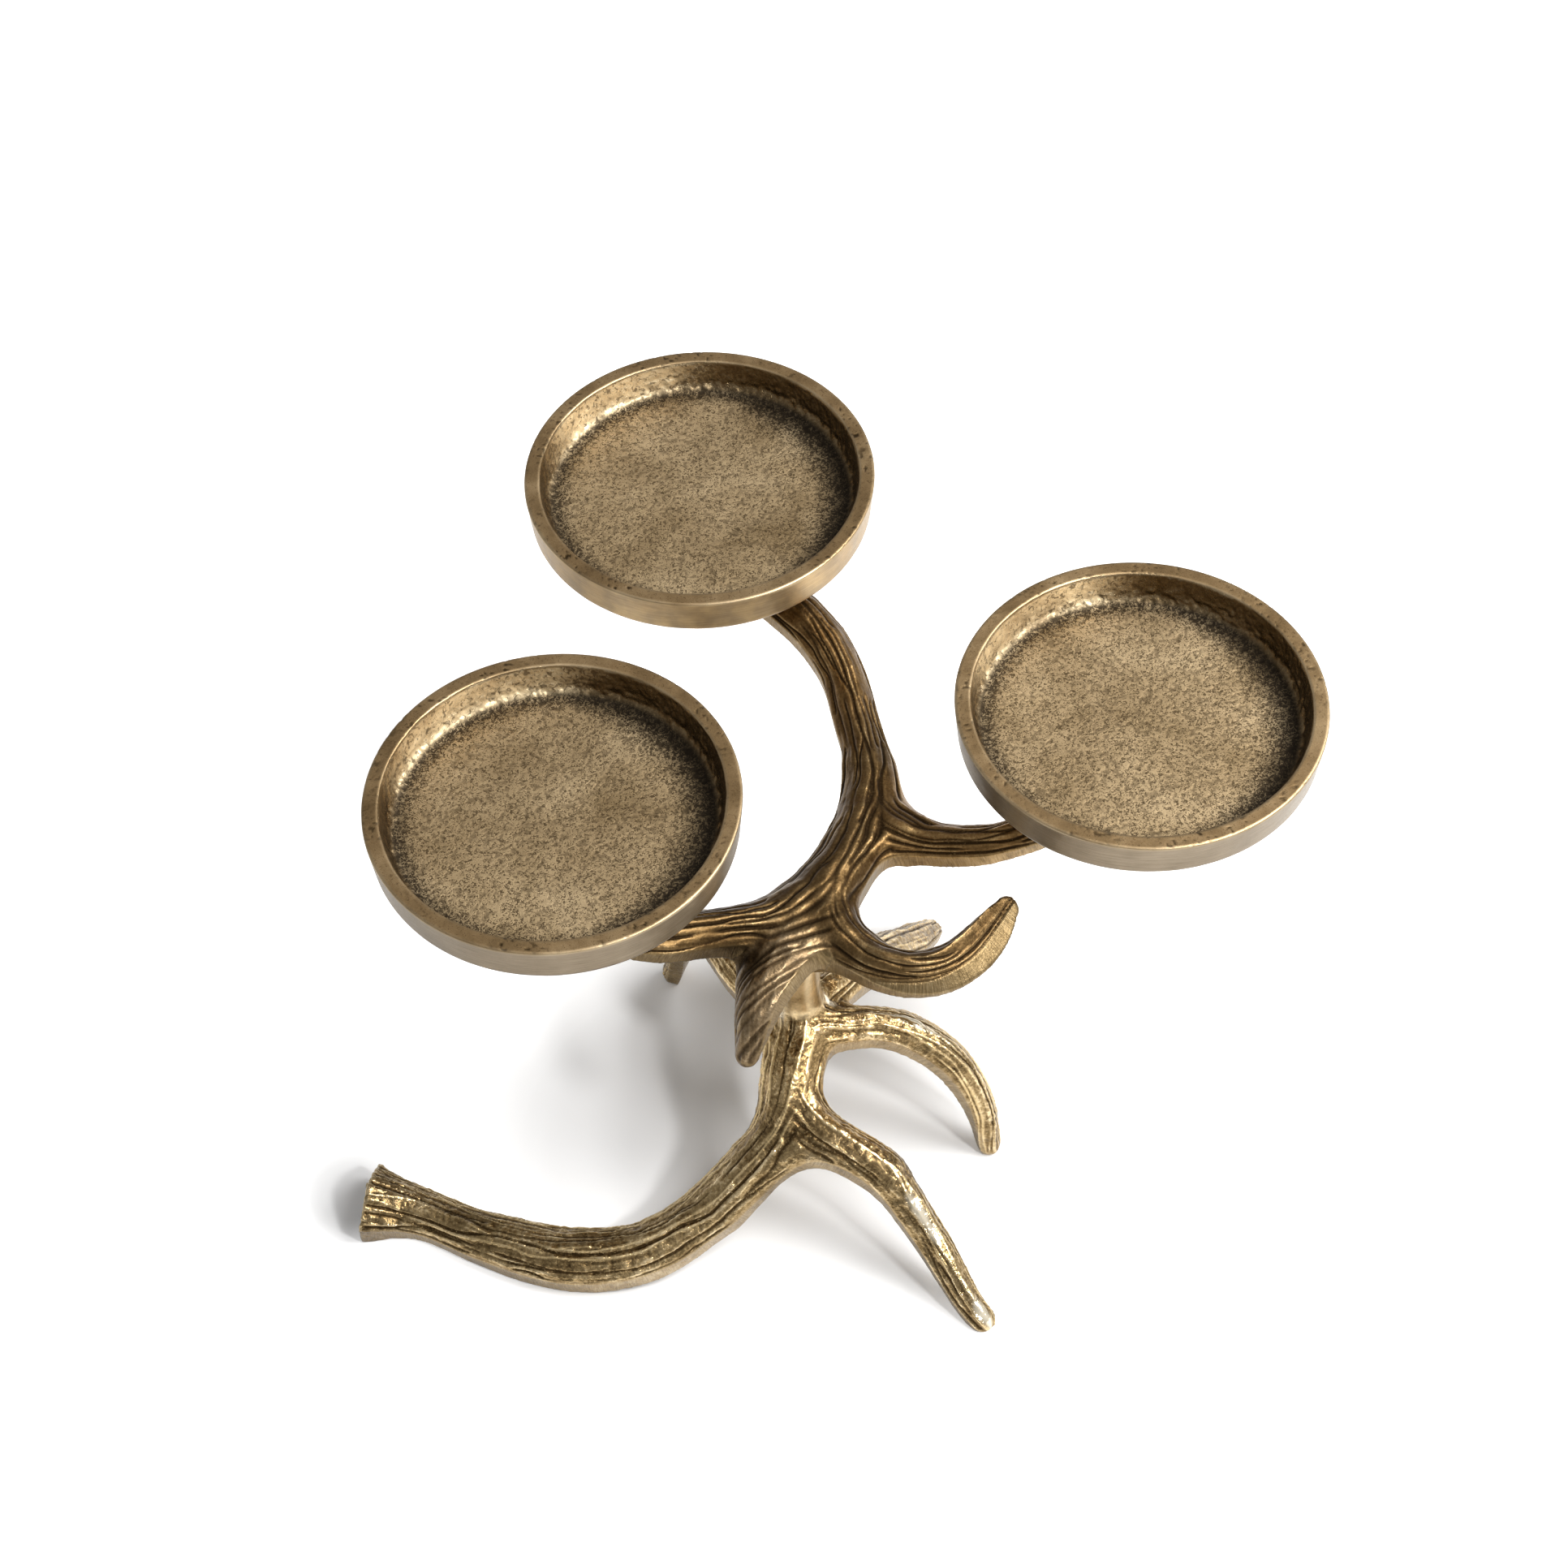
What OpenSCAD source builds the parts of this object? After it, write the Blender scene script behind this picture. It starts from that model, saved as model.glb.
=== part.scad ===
// Candle holder in cast brass: three round candle pans carried by two antler castings.
// The lower antler stands on its beam and four tines. The upper one sits on the column
// and reaches out under the pans. Millimetres, +Z up, the table is z = 0.
// The origin is the middle of the whole outline on the table.

/* [Stand] */
// height of the pan rims above the table
stand_h = 135; // [130:1:142]
// height of the lower hub's middle
lower_hub_h = 50; // [47:1:53]
// height of the upper hub's middle
upper_hub_h = 93; // [91:1:96]

/* [Pans] */
// outside diameter of a pan
pan_d = 110; // [98:1:118]
// height of a pan over its underside
pan_h = 14; // [12:0.5:17]
// width of the flat rim
pan_rim = 5; // [3.5:0.5:7]
// thickness of the pan floor
pan_floor = 3.5; // [3:0.25:5]
// radius of the cove between wall and floor
pan_cove = 4; // [2:0.5:5]
// how far the outer wall narrows towards the underside
pan_taper = 1; // [0:0.25:2]
// radius of the rounded lower edge
pan_edge = 3; // [1:0.5:4]
// worn corner of the rim
pan_worn = 0.6; // [0.3:0.1:1]
// diameter of the boss under a pan
boss_d = 24; // [20:1:28]
// height of the boss under a pan
boss_h = 5; // [4:0.5:6]
// distance of the back pan from the column
back_pan_far = 150; // [144:1:156]
// direction of the back pan, degrees
back_pan_turn = 99.9; // [97:0.1:103]
// distance of the left pan from the column
left_pan_far = 72.2; // [70:0.1:76]
// direction of the left pan, degrees
left_pan_turn = 163.5; // [161:0.1:166]
// distance of the right pan from the column
right_pan_far = 114.8; // [109:0.1:120]
// direction of the right pan, degrees
right_pan_turn = 25.8; // [23:0.1:29]

/* [Upper antler] */
// width of the arms
arm_w = 15; // [13:0.5:17]
// thickness of the arms
arm_t = 12; // [11:0.5:13]
// diameter of the round pad under each boss
pad_d = 22; // [19:1:26]
// thickness of the pads
pad_t = 7; // [6:0.5:8]
// width of the front tine at its root
front_tine_w = 20; // [17:0.5:21]
// width of the side tine at its root
side_tine_w = 12; // [11:0.5:14]
// reach of the front tine's tip from the column
front_tine_far = 36; // [33:0.5:38]
// reach of the side tine's tip from the column
side_tine_far = 62; // [58:1:66]

/* [Lower antler] */
// width of the beam
beam_w = 18; // [16:0.5:19]
// thickness of the beam
beam_t = 13.5; // [12:0.5:14.5]
// how much the beam widens at its cut end
beam_flare = 6; // [3:0.5:8]
// reach of the beam's cut end from the column
beam_far = 139; // [132:1:146]
// reach of the near foot from the column
near_foot_far = 95; // [90:1:100]
// reach of the side foot from the column
side_foot_far = 61; // [57:1:65]
// reach of the back foot from the column
back_foot_far = 78; // [72:1:84]
// reach of the left foot from the column
left_foot_far = 65; // [61:1:69]
// width of the tines
tine_w = 13; // [11:0.5:14]
// thickness of the tines
tine_t = 11; // [9:0.5:12]
// diameter of the column
column_d = 14; // [13:0.5:17]

/* [Relief] */
// half height of the ridges along the antlers
ridge = 0.45; // [0.2:0.05:0.6]

/* [Fasteners] */
// pan screw diameter
screw_d = 5; // [4:0.5:6]
// depth of the pan screw in the boss
screw_grip = 6; // [5:0.5:6]
// column bolt diameter
bolt_d = 6; // [5:0.5:7]
// depth of the column bolt in the upper hub
bolt_grip = 8; // [6:0.5:9]
// hole allowance around a loose shank, on the radius
shank_gap = 0.25; // [0.2:0.05:0.5]
// hole allowance around a screwed-in shank, on the radius
thread_gap = 0.05; // [0.02:0.01:0.1]
// washer thickness
washer_t = 1.2; // [1:0.1:1.6]

/* [Hidden] */
brass = [0.50, 0.38, 0.20];
brass_pan = [0.62, 0.52, 0.36];
zinc = [0.62, 0.60, 0.56];
round_fn = 96;
cast_fn = 48;
overcut = 1;

// pans and their seats
pan_r = pan_d / 2;
pan_under = stand_h - pan_h;
seat_z = pan_under - boss_h;
pad_under = seat_z - pad_t;
function turned(far, turn) = [far * cos(turn), far * sin(turn), 0];
back_at = turned(back_pan_far, back_pan_turn);
left_at = turned(left_pan_far, left_pan_turn);
right_at = turned(right_pan_far, right_pan_turn);
pans_at = [back_at, left_at, right_at];

// a bend of a branch is [x, y, z, width, thickness, share of the ridges]
// its row is [part of the reach, part of the reach to the left, part of the rise, width, thickness, share]
function mix(a, b, k) = a + (b - a) * k;
function unit(v) = v / norm(v);
function spot(q) = [q[0], q[1], q[2]];
function bends(from, to, rows) = [for (b = rows) [
    mix(from[0], to[0], b[0]) - (to[1] - from[1]) * b[1],
    mix(from[1], to[1], b[0]) + (to[0] - from[0]) * b[1],
    mix(from[2], to[2], b[2]), b[3], b[4], b[5]]];
function back(list) = [for (i = [len(list) - 1:-1:0]) list[i]];
function smooth(a, b, c, d, k) =
    let (bow = 2 * a - 5 * b + 4 * c - d, swing = 3 * b - a - 3 * c + d)
    (2 * b + (c - a) * k + bow * pow(k, 2) + swing * pow(k, 3)) / 2;
function on_way(p, t) = let (last = len(p) - 1, i = min(floor(t), last - 1))
    smooth(p[max(i - 1, 0)], p[i], p[i + 1], p[min(i + 2, last)], t - i);

// the outline round a branch: a domed, ridged top over ground sides and a flat underside
top_part = 0.6;
dome_round = 0.85;
flank_round = 0.55;
function outline(w, t, ridges, sides) = [for (k = [0:sides - 1])
    let (
        a = 360 * (k + 0.5) / sides,
        c = cos(a),
        s = sin(a),
        lift = s > 0 ? (k % 2 == 0 ? ridges : -ridges) : 0
    )
    s > 0 ? [w / 2 * sign(c) * pow(abs(c), dome_round) + lift * c,
             t * top_part * pow(s, dome_round) + lift * s]
          : [w / 2 * sign(c) * pow(abs(c), flank_round),
             -t * (1 - top_part) * pow(-s, flank_round)]];

function ring(p, t, w, th, ridges, push, sides) =
    let (
        step = 0.02,
        last = len(p) - 1,
        ahead = unit(spot(on_way(p, min(t + step, last))) - spot(on_way(p, max(t - step, 0)))),
        side = unit(cross(ahead, [0, 0, 1])),
        up = cross(side, ahead)
    )
    [for (q = outline(w, th, ridges, sides)) spot(on_way(p, t)) + ahead * push + side * q[0] + up * q[1]];

// the rings of a branch: a flat start with a worn edge, and a rounded tip or the same flat end
cut_step = 6;
nose = 3;
tip_bow = 78;
cut_bow = 60;
worn = 1.2;
function capped(p, t, q, tip, way, j, sides) =
    let (
        a = (tip ? tip_bow : cut_bow) * j / nose,
        r = tip ? q[3] / 2 : worn,
        w = tip ? q[3] * cos(a) : q[3] - 2 * r * (1 - cos(a)),
        th = tip ? q[4] * cos(a) : q[4] - 2 * r * (1 - cos(a))
    )
    ring(p, t, w, th, ridge * q[5] * cos(a), way * r * sin(a), sides);
function rings(p, tip, sides) =
    let (last = len(p) - 1)
    concat(
        [for (j = [nose:-1:1]) capped(p, 0, p[0], false, -1, j, sides)],
        [for (i = [0:last - 1])
            let (cuts = max(1, ceil(norm(spot(p[i + 1]) - spot(p[i])) / cut_step)))
            for (j = [0:cuts - 1])
                let (t = i + j / cuts, q = on_way(p, t))
                ring(p, t, q[3], q[4], ridge * q[5], 0, sides)],
        [ring(p, last, p[last][3], p[last][4], ridge * p[last][5], 0, sides)],
        [for (j = [1:nose]) capped(p, last, p[last], tip, 1, j, sides)]);

// a closed body from its rings
module skin(all) {
    n = len(all[0]);
    m = len(all);
    walls = [for (j = [0:m - 2]) for (k = [0:n - 1]) for (half = [0, 1])
        half == 0 ? [j * n + k, j * n + (k + 1) % n, (j + 1) * n + k]
                  : [(j + 1) * n + k, j * n + (k + 1) % n, (j + 1) * n + (k + 1) % n]];
    first = [for (k = [n - 1:-1:0]) k];
    end = [for (k = [0:n - 1]) (m - 1) * n + k];
    polyhedron([for (r = all) for (q = r) q], concat(walls, [first], [end]), convexity = 6);
}

// the metal that fills a fork: two flat lumps drawn together, one towards each branch
lump_fn = 12;
module lump(at, w, t) {
    translate(at) scale([w / 2, w / 2, t / 2]) sphere(r = 1, $fn = lump_fn);
}
web_part = 0.4;
module web(a, b, root, w, t) {
    hull() {
        lump(a, w, t);
        lump(root, w, t);
        lump(mix(root, b, web_part), w, t);
    }
    hull() {
        lump(b, w, t);
        lump(root, w, t);
        lump(mix(root, a, web_part), w, t);
    }
}

// lower antler
low = [0, 0, lower_hub_h];
tip_z = 2;
beam_end = [-0.9675 * beam_far, -0.2525 * beam_far, (1 - top_part) * beam_t + 1.5];
near_foot = [0.547 * near_foot_far, -0.8396 * near_foot_far, tip_z];
side_foot = [0.953 * side_foot_far, -0.303 * side_foot_far, tip_z];
back_foot = [0.568 * back_foot_far, 0.823 * back_foot_far, tip_z];
left_foot = [-0.6184 * left_foot_far, 0.7859 * left_foot_far, tip_z];

beam_way = bends(low, beam_end, [
    [0, 0, 0, beam_w - 2, beam_t, 0.6], [0.05, 0.11, 0.14, beam_w - 2, beam_t, 1],
    [0.10, 0.19, 0.40, beam_w - 2, beam_t, 1], [0.15, 0.22, 0.55, beam_w - 1, beam_t, 1],
    [0.22, 0.25, 0.69, beam_w - 1, beam_t, 1], [0.31, 0.28, 0.84, beam_w - 1, beam_t - 1, 1],
    [0.45, 0.30, 0.99, beam_w, beam_t, 1], [0.61, 0.26, 1.04, beam_w + 1, beam_t, 1],
    [0.77, 0.16, 1.04, beam_w - 2, beam_t - 2, 1], [0.89, 0.06, 1.03, beam_w - 3, beam_t - 3, 1],
    [1, 0, 1, beam_w - 3 + beam_flare, beam_t - 3 + 0.7 * beam_flare, 1]]);
left_way = bends(low, left_foot, [
    [0.27, 0.07, -0.02, tine_w, tine_t, 1], [0.51, 0.03, -0.02, tine_w, tine_t, 1],
    [0.70, -0.01, 0.07, tine_w - 1, tine_t - 1, 1], [0.84, -0.03, 0.32, tine_w - 2, tine_t - 2, 1],
    [0.94, -0.03, 0.68, tine_w - 3, tine_t - 3, 1], [1, 0, 1, tine_w - 5, tine_t - 4, 0.5]]);
near_way = bends(low, near_foot, [
    [0.08, -0.02, 0.02, tine_w - 1, tine_t, 0.5], [0.16, -0.12, 0.16, tine_w - 1, tine_t, 1],
    [0.26, -0.15, 0.26, tine_w - 1, tine_t, 1], [0.39, -0.11, 0.33, tine_w - 1, tine_t, 1],
    [0.53, -0.045, 0.42, tine_w - 1, tine_t - 1, 1], [0.67, -0.02, 0.61, tine_w - 2, tine_t - 1, 1],
    [0.81, -0.01, 0.79, tine_w - 3, tine_t - 2, 1], [0.93, -0.01, 0.93, tine_w - 4, tine_t - 3, 1],
    [1, 0, 1, tine_w - 5, tine_t - 4, 0.5]]);
belly_way = bends(low, near_foot, [
    [0.27, -0.50, 0.70, tine_w - 5, tine_t - 3, 0], [0.29, -0.33, 0.46, tine_w - 4, tine_t - 2, 0.5],
    [0.34, -0.19, 0.34, tine_w - 3, tine_t - 2, 0.5], [0.43, -0.10, 0.34, tine_w - 3, tine_t - 2, 0.5],
    [0.53, -0.03, 0.42, tine_w - 5, tine_t - 4, 0]]);
side_way = bends(low, side_foot, [
    [0.05, -0.43, 0.29, tine_w - 4, tine_t - 2, 0], [0.04, -0.30, 0.17, tine_w - 3, tine_t - 1, 0.5],
    [0.04, -0.16, 0.05, tine_w - 2, tine_t, 0.5], [0.10, -0.04, 0, tine_w - 1, tine_t, 1],
    [0.22, -0.03, 0, tine_w - 1, tine_t, 1], [0.37, 0.05, 0.01, tine_w - 1, tine_t, 1],
    [0.54, 0.09, 0.09, tine_w - 1, tine_t, 1], [0.78, 0.09, 0.32, tine_w - 2, tine_t - 1, 1],
    [0.94, 0.05, 0.68, tine_w - 4, tine_t - 2, 1], [1, 0, 1, tine_w - 6, tine_t - 4, 0.5]]);
back_way = bends(low, back_foot, [
    [-0.10, 0.02, 0.10, tine_w - 2, tine_t - 1, 0], [0.06, -0.02, 0, tine_w, tine_t, 0.3],
    [0.21, -0.05, 0.02, tine_w, tine_t, 1], [0.51, -0.04, 0.29, tine_w + 1, tine_t - 1, 1],
    [0.78, -0.03, 0.67, tine_w, tine_t - 2, 1], [1, 0, 1, tine_w - 5, tine_t - 4, 0.5]]);

function in_tines(q) = [q[0] * tine_w, q[1] * tine_w, q[2] * lower_hub_h];

// a fork is [towards one branch, towards the other, root, width, thickness]: places and width as
// parts of the tines' width, heights as parts of the hub's, thickness as a part of the tines'
low_forks = [
    [[-0.85, -2.46, 0.64], [0.62, -2.77, 0.70], [-0.31, -2.46, 0.70], 0.77, 0.95],
    [[-0.15, -1.08, 0.90], [0.85, -0.46, 0.98], [0.08, -0.54, 0.96], 0.69, 0.82],
    [[1.08, -0.38, 0.98], [0.77, 0.69, 0.98], [0.31, 0, 0.98], 0.69, 0.82],
    [[0.62, 0.62, 0.98], [-0.69, 0.62, 1], [0, 0.15, 0.98], 0.69, 0.82]];

// upper antler: places in the hub are parts of the arms' width
function in_arms(q) = [q[0] * arm_w, q[1] * arm_w, upper_hub_h + q[2] * arm_t];
arm_z = seat_z - pad_t * top_part;
function lifted(at, z) = [at[0], at[1], z];
hub = in_arms([0.18, 0.67, 0]);
left_arm = bends(hub, lifted(left_at, arm_z), [
    [0.12, 0.12, 0.06, arm_w, arm_t, 1], [0.27, 0.19, 0.22, arm_w - 1, arm_t, 1],
    [0.42, 0.26, 0.39, arm_w - 1, arm_t - 1, 1], [0.55, 0.33, 0.58, arm_w - 1, arm_t - 1, 1],
    [0.75, 0.33, 0.78, arm_w - 1, arm_t - 2, 1], [0.92, 0.22, 0.89, arm_w, arm_t - 3, 1],
    [1, 0, 1, arm_w, pad_t, 0.5]]);
back_arm = bends(hub, lifted(back_at, arm_z), [
    [0, 0, 0, arm_w + 2, arm_t, 1], [0.06, -0.08, 0, arm_w + 1, arm_t, 1],
    [0.12, -0.13, 0, arm_w + 1, arm_t, 1], [0.21, -0.18, 0, arm_w, arm_t, 1],
    [0.34, -0.22, 0.06, arm_w - 1, arm_t, 1], [0.45, -0.22, 0.17, arm_w - 1, arm_t, 1],
    [0.57, -0.22, 0.33, arm_w - 1, arm_t, 1], [0.69, -0.18, 0.56, arm_w, arm_t, 1],
    [0.85, -0.08, 0.78, arm_w + 1, arm_t - 2, 1], [1, 0, 1, arm_w, pad_t, 0.5]]);
right_arm = bends(in_arms([1.50, 2.00, 0]), lifted(right_at, arm_z), [
    [0, 0, 0, arm_w - 4, arm_t - 2, 0.7], [0.12, 0, 0.06, arm_w - 4, arm_t - 2, 1],
    [0.27, -0.09, 0.15, arm_w - 5, arm_t - 2, 1], [0.42, -0.16, 0.37, arm_w - 5, arm_t - 2, 1],
    [0.71, -0.15, 0.72, arm_w - 2, arm_t - 2, 1], [1, 0, 1, arm_w, pad_t, 0.5]]);
fork_way = bends(in_arms([1.53, 4, 0]), lifted(right_at, arm_z), [
    [0, 0, 0, arm_w - 6, arm_t - 3, 0], [0.03, -0.16, -0.03, arm_w - 5, arm_t - 2, 0.5],
    [0.11, -0.28, 0, arm_w - 4, arm_t - 2, 1], [0.22, -0.34, 0.05, arm_w - 5, arm_t - 2, 1],
    [0.34, -0.36, 0.13, arm_w - 6, arm_t - 3, 0.5], [0.51, -0.37, 0.37, arm_w - 8, arm_t - 5, 0]]);
elbow = [[0.93, 1.45, 0], [0.66, 0.66, 0], [0.87, -0.23, 0]];
elbow_way = [for (q = elbow) concat(in_arms(q), [side_tine_w, arm_t - 1, 0.5])];
side_tip = [0.997 * side_tine_far, 0.074 * side_tine_far, upper_hub_h + arm_t / 4];
side_tine = bends(in_arms(elbow[1]), side_tip, [
    [0.30, -0.40, -0.33, side_tine_w, arm_t - 1, 1], [0.58, -0.42, -0.40, side_tine_w, arm_t - 2, 1],
    [0.80, -0.30, 0.10, side_tine_w - 2, arm_t - 3, 1], [0.94, -0.10, 0.65, side_tine_w - 4, arm_t - 5, 1],
    [1, 0, 1, side_tine_w - 6, arm_t - 6, 0.5]]);
front_tip = [-0.434 * front_tine_far, -0.901 * front_tine_far, upper_hub_h - 1.25 * arm_t];
front_tine = bends(in_arms([1.07, 1.74, 0]), front_tip, [
    [0, 0, 0, front_tine_w - 8, arm_t - 1, 0], [0.23, -0.01, 0, front_tine_w - 3, arm_t - 0.5, 0.3],
    [0.44, -0.03, 0, front_tine_w + 1, arm_t, 1], [0.60, -0.04, 0.03, front_tine_w, arm_t - 0.5, 1],
    [0.73, -0.04, 0.13, front_tine_w - 3, arm_t - 1, 1], [0.85, -0.03, 0.33, front_tine_w - 7, arm_t - 2, 1],
    [0.95, -0.01, 0.67, front_tine_w - 10, arm_t - 4, 1], [1, 0, 1, front_tine_w - 13, arm_t - 6, 0.5]]);

// the same for the upper forks, in parts of the arms' width and thickness
up_forks = [
    [[1.67, 3.07, 0.05], [2.30, 2.20, 0.05], [1.67, 2.33, 0.05], 0.53, 0.85],
    [[0.93, 1.40, 0.07], [0.80, 0, 0.07], [0.47, 0.67, 0.07], 0.67, 1],
    [[1.00, -0.37, -0.04], [0, -0.40, -0.08], [0.47, -0.07, 0.03], 0.67, 0.9],
    [[-0.60, -0.50, -0.05], [-1.05, 0, 0], [-0.15, 0.15, 0.04], 0.73, 0.9]];

// the middle of the whole outline stands over the origin
beam_sides = 24;
tine_sides = 16;
low_rings = concat(rings(back(beam_way), true, beam_sides), rings(near_way, true, tine_sides));
min_x = min([for (r = low_rings) for (q = r) q[0]]);
min_y = min([for (r = low_rings) for (q = r) q[1]]);
middle = [(min_x + right_at[0] + pan_r) / 2, (min_y + back_at[1] + pan_r) / 2, 0];

// fits
column_sink = 0.5;
bolt_sink = 1;
column_top = upper_hub_h - arm_t * (1 - top_part) + column_sink;
bolt_seat = lower_hub_h - beam_t * (1 - top_part) + bolt_sink;
socket_d = column_d + 2;
bolt_r = bolt_d / 2;
bolt_head_w = bolt_d * 1.67;
bolt_head_t = bolt_d * 0.65;
bolt_washer_r = bolt_d;
bolt_end_gap = 0.6;
screw_r = screw_d / 2;
screw_head_r = screw_d * 0.9;
screw_head_t = screw_d * 0.55;
screw_washer_r = screw_d;
screw_end_gap = 0.5;
key_w = screw_d * 0.7;
key_deep = screw_head_t * 0.6;

module lower_antler() {
    color(brass) translate(-middle) difference() {
        union() {
            skin(rings(concat(back(beam_way), left_way), true, beam_sides));
            skin(rings(near_way, true, tine_sides));
            skin(rings(belly_way, false, tine_sides));
            skin(rings(side_way, true, tine_sides));
            skin(rings(back_way, true, tine_sides));
            for (q = low_forks)
                web(in_tines(q[0]), in_tines(q[1]), in_tines(q[2]), q[3] * tine_w, q[4] * tine_t);
            translate([0, 0, lower_hub_h])
                cylinder(h = column_top - lower_hub_h, d = column_d, $fn = cast_fn);
        }
        translate([0, 0, -beam_t])
            cylinder(h = beam_t, r = 2 * beam_far, $fn = cast_fn);
        translate([0, 0, lower_hub_h - beam_t])
            cylinder(h = stand_h, r = bolt_r + shank_gap, $fn = cast_fn);
        translate([0, 0, bolt_seat - beam_t])
            cylinder(h = beam_t, r = bolt_washer_r + overcut, $fn = cast_fn);
    }
}

module upper_antler() {
    color(brass) translate(-middle) difference() {
        union() {
            skin(rings(concat(back(left_arm), back_arm), false, beam_sides));
            skin(rings(concat(back(right_arm), elbow_way, side_tine), true, tine_sides));
            skin(rings(front_tine, true, beam_sides));
            skin(rings(fork_way, false, tine_sides));
            for (q = up_forks)
                web(in_arms(q[0]), in_arms(q[1]), in_arms(q[2]), q[3] * arm_w, q[4] * arm_t);
            for (at = pans_at)
                translate(lifted(at, pad_under))
                    cylinder(h = pad_t, d = pad_d, $fn = cast_fn);
            translate([0, 0, column_top])
                cylinder(h = bolt_grip, d = socket_d, $fn = cast_fn);
        }
        for (at = pans_at) {
            translate(lifted(at, seat_z))
                cylinder(h = arm_t, d = 2 * pad_d, $fn = cast_fn);
            translate(lifted(at, pad_under - arm_t))
                cylinder(h = 3 * arm_t, r = screw_r + shank_gap, $fn = cast_fn);
            translate(lifted(at, pad_under - arm_t))
                cylinder(h = arm_t, d = pad_d, $fn = cast_fn);
        }
        translate([0, 0, column_top - arm_t])
            cylinder(h = arm_t, d = socket_d, $fn = cast_fn);
        translate([0, 0, column_top - overcut])
            cylinder(h = bolt_grip + overcut, r = bolt_r + thread_gap, $fn = cast_fn);
    }
}

// half of a pan's section, the axis at the left
module pan_section() {
    low_r = pan_r - pan_taper;
    inner_r = pan_r - pan_rim;
    difference() {
        union() {
            polygon([[0, 0], [low_r - pan_edge, 0], [low_r, pan_edge], [pan_r, pan_h - pan_worn],
                     [pan_r - pan_worn, pan_h], [0, pan_h]]);
            translate([low_r - pan_edge, pan_edge]) circle(r = pan_edge, $fn = round_fn);
            translate([0, -boss_h]) square([boss_d / 2, boss_h + overcut]);
        }
        difference() {
            translate([0, pan_floor]) square([inner_r, pan_h]);
            difference() {
                translate([inner_r - pan_cove, pan_floor - overcut])
                    square(pan_cove + overcut);
                translate([inner_r - pan_cove, pan_floor + pan_cove])
                    circle(r = pan_cove, $fn = round_fn);
            }
        }
        polygon([[inner_r - overcut, pan_h + overcut], [inner_r - overcut, pan_h - pan_worn - overcut],
                 [inner_r, pan_h - pan_worn], [inner_r + pan_worn, pan_h],
                 [inner_r + pan_worn, pan_h + overcut]]);
        translate([-overcut, -boss_h - overcut])
            square([screw_r + thread_gap + overcut, screw_grip + screw_end_gap + overcut]);
    }
}

module pan() {
    rotate_extrude($fn = round_fn) pan_section();
}

module pan_screw() {
    difference() {
        union() {
            translate([0, 0, -screw_head_t])
                cylinder(h = screw_head_t, r = screw_head_r, $fn = round_fn);
            cylinder(h = washer_t + pad_t + screw_grip, r = screw_r, $fn = round_fn);
        }
        translate([0, 0, -screw_head_t - overcut])
            cylinder(h = key_deep + overcut, d = key_w, $fn = 6);
    }
}

module washer(outer_r, inner_r) {
    difference() {
        cylinder(h = washer_t, r = outer_r, $fn = round_fn);
        translate([0, 0, -overcut])
            cylinder(h = washer_t + 2 * overcut, r = inner_r, $fn = round_fn);
    }
}

module pan_back() {
    color(brass_pan) translate(lifted(back_at, pan_under) - middle) pan();
}

module pan_left() {
    color(brass_pan) translate(lifted(left_at, pan_under) - middle) pan();
}

module pan_right() {
    color(brass_pan) translate(lifted(right_at, pan_under) - middle) pan();
}

module pan_screws() {
    color(zinc) for (at = pans_at)
        translate(lifted(at, pad_under - washer_t) - middle) pan_screw();
}

module pan_washers() {
    color(zinc) for (at = pans_at)
        translate(lifted(at, pad_under - washer_t) - middle)
            washer(screw_washer_r, screw_r + shank_gap);
}

module column_bolt() {
    under = bolt_seat - washer_t;
    length = column_top + bolt_grip - bolt_end_gap - under;
    color(zinc) translate([0, 0, under] - middle) union() {
        translate([0, 0, -bolt_head_t])
            cylinder(h = bolt_head_t, d = bolt_head_w / cos(30), $fn = 6);
        cylinder(h = length, r = bolt_r, $fn = round_fn);
    }
}

module column_washer() {
    color(zinc) translate([0, 0, bolt_seat - washer_t] - middle)
        washer(bolt_washer_r, bolt_r + shank_gap);
}

lower_antler();
upper_antler();
pan_back();
pan_left();
pan_right();
pan_screws();
pan_washers();
column_bolt();
column_washer();
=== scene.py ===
import itertools
import math

import bpy
import numpy as np
from mathutils import Matrix, Vector


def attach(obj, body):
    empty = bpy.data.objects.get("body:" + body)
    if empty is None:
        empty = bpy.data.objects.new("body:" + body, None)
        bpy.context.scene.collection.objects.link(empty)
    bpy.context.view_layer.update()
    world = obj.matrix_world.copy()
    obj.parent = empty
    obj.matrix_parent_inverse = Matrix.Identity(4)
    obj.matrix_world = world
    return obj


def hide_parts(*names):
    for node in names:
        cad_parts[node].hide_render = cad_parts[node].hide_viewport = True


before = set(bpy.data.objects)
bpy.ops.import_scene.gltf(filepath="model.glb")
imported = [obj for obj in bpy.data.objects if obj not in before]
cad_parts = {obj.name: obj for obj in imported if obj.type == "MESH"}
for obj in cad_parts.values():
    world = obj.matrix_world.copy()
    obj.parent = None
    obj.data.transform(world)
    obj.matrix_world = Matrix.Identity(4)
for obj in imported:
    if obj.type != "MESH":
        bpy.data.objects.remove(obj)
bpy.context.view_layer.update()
MM = 0.001

# the camera, fitted to the pans' rims, in millimetres, degrees and the photo's pixels
CAMERA_AT = (-12.59, -587.49, 832.2)
CAMERA_PITCH, CAMERA_ROLL = 51.69, -1.83
PHOTO_W, FOCAL_LENGTH = 1932.0, 3800.0
SENSOR_W = 36.0


def placed(name, data):
    """A new object in the scene."""
    o = bpy.data.objects.new(name, data)
    bpy.context.scene.collection.objects.link(o)
    return o


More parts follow.
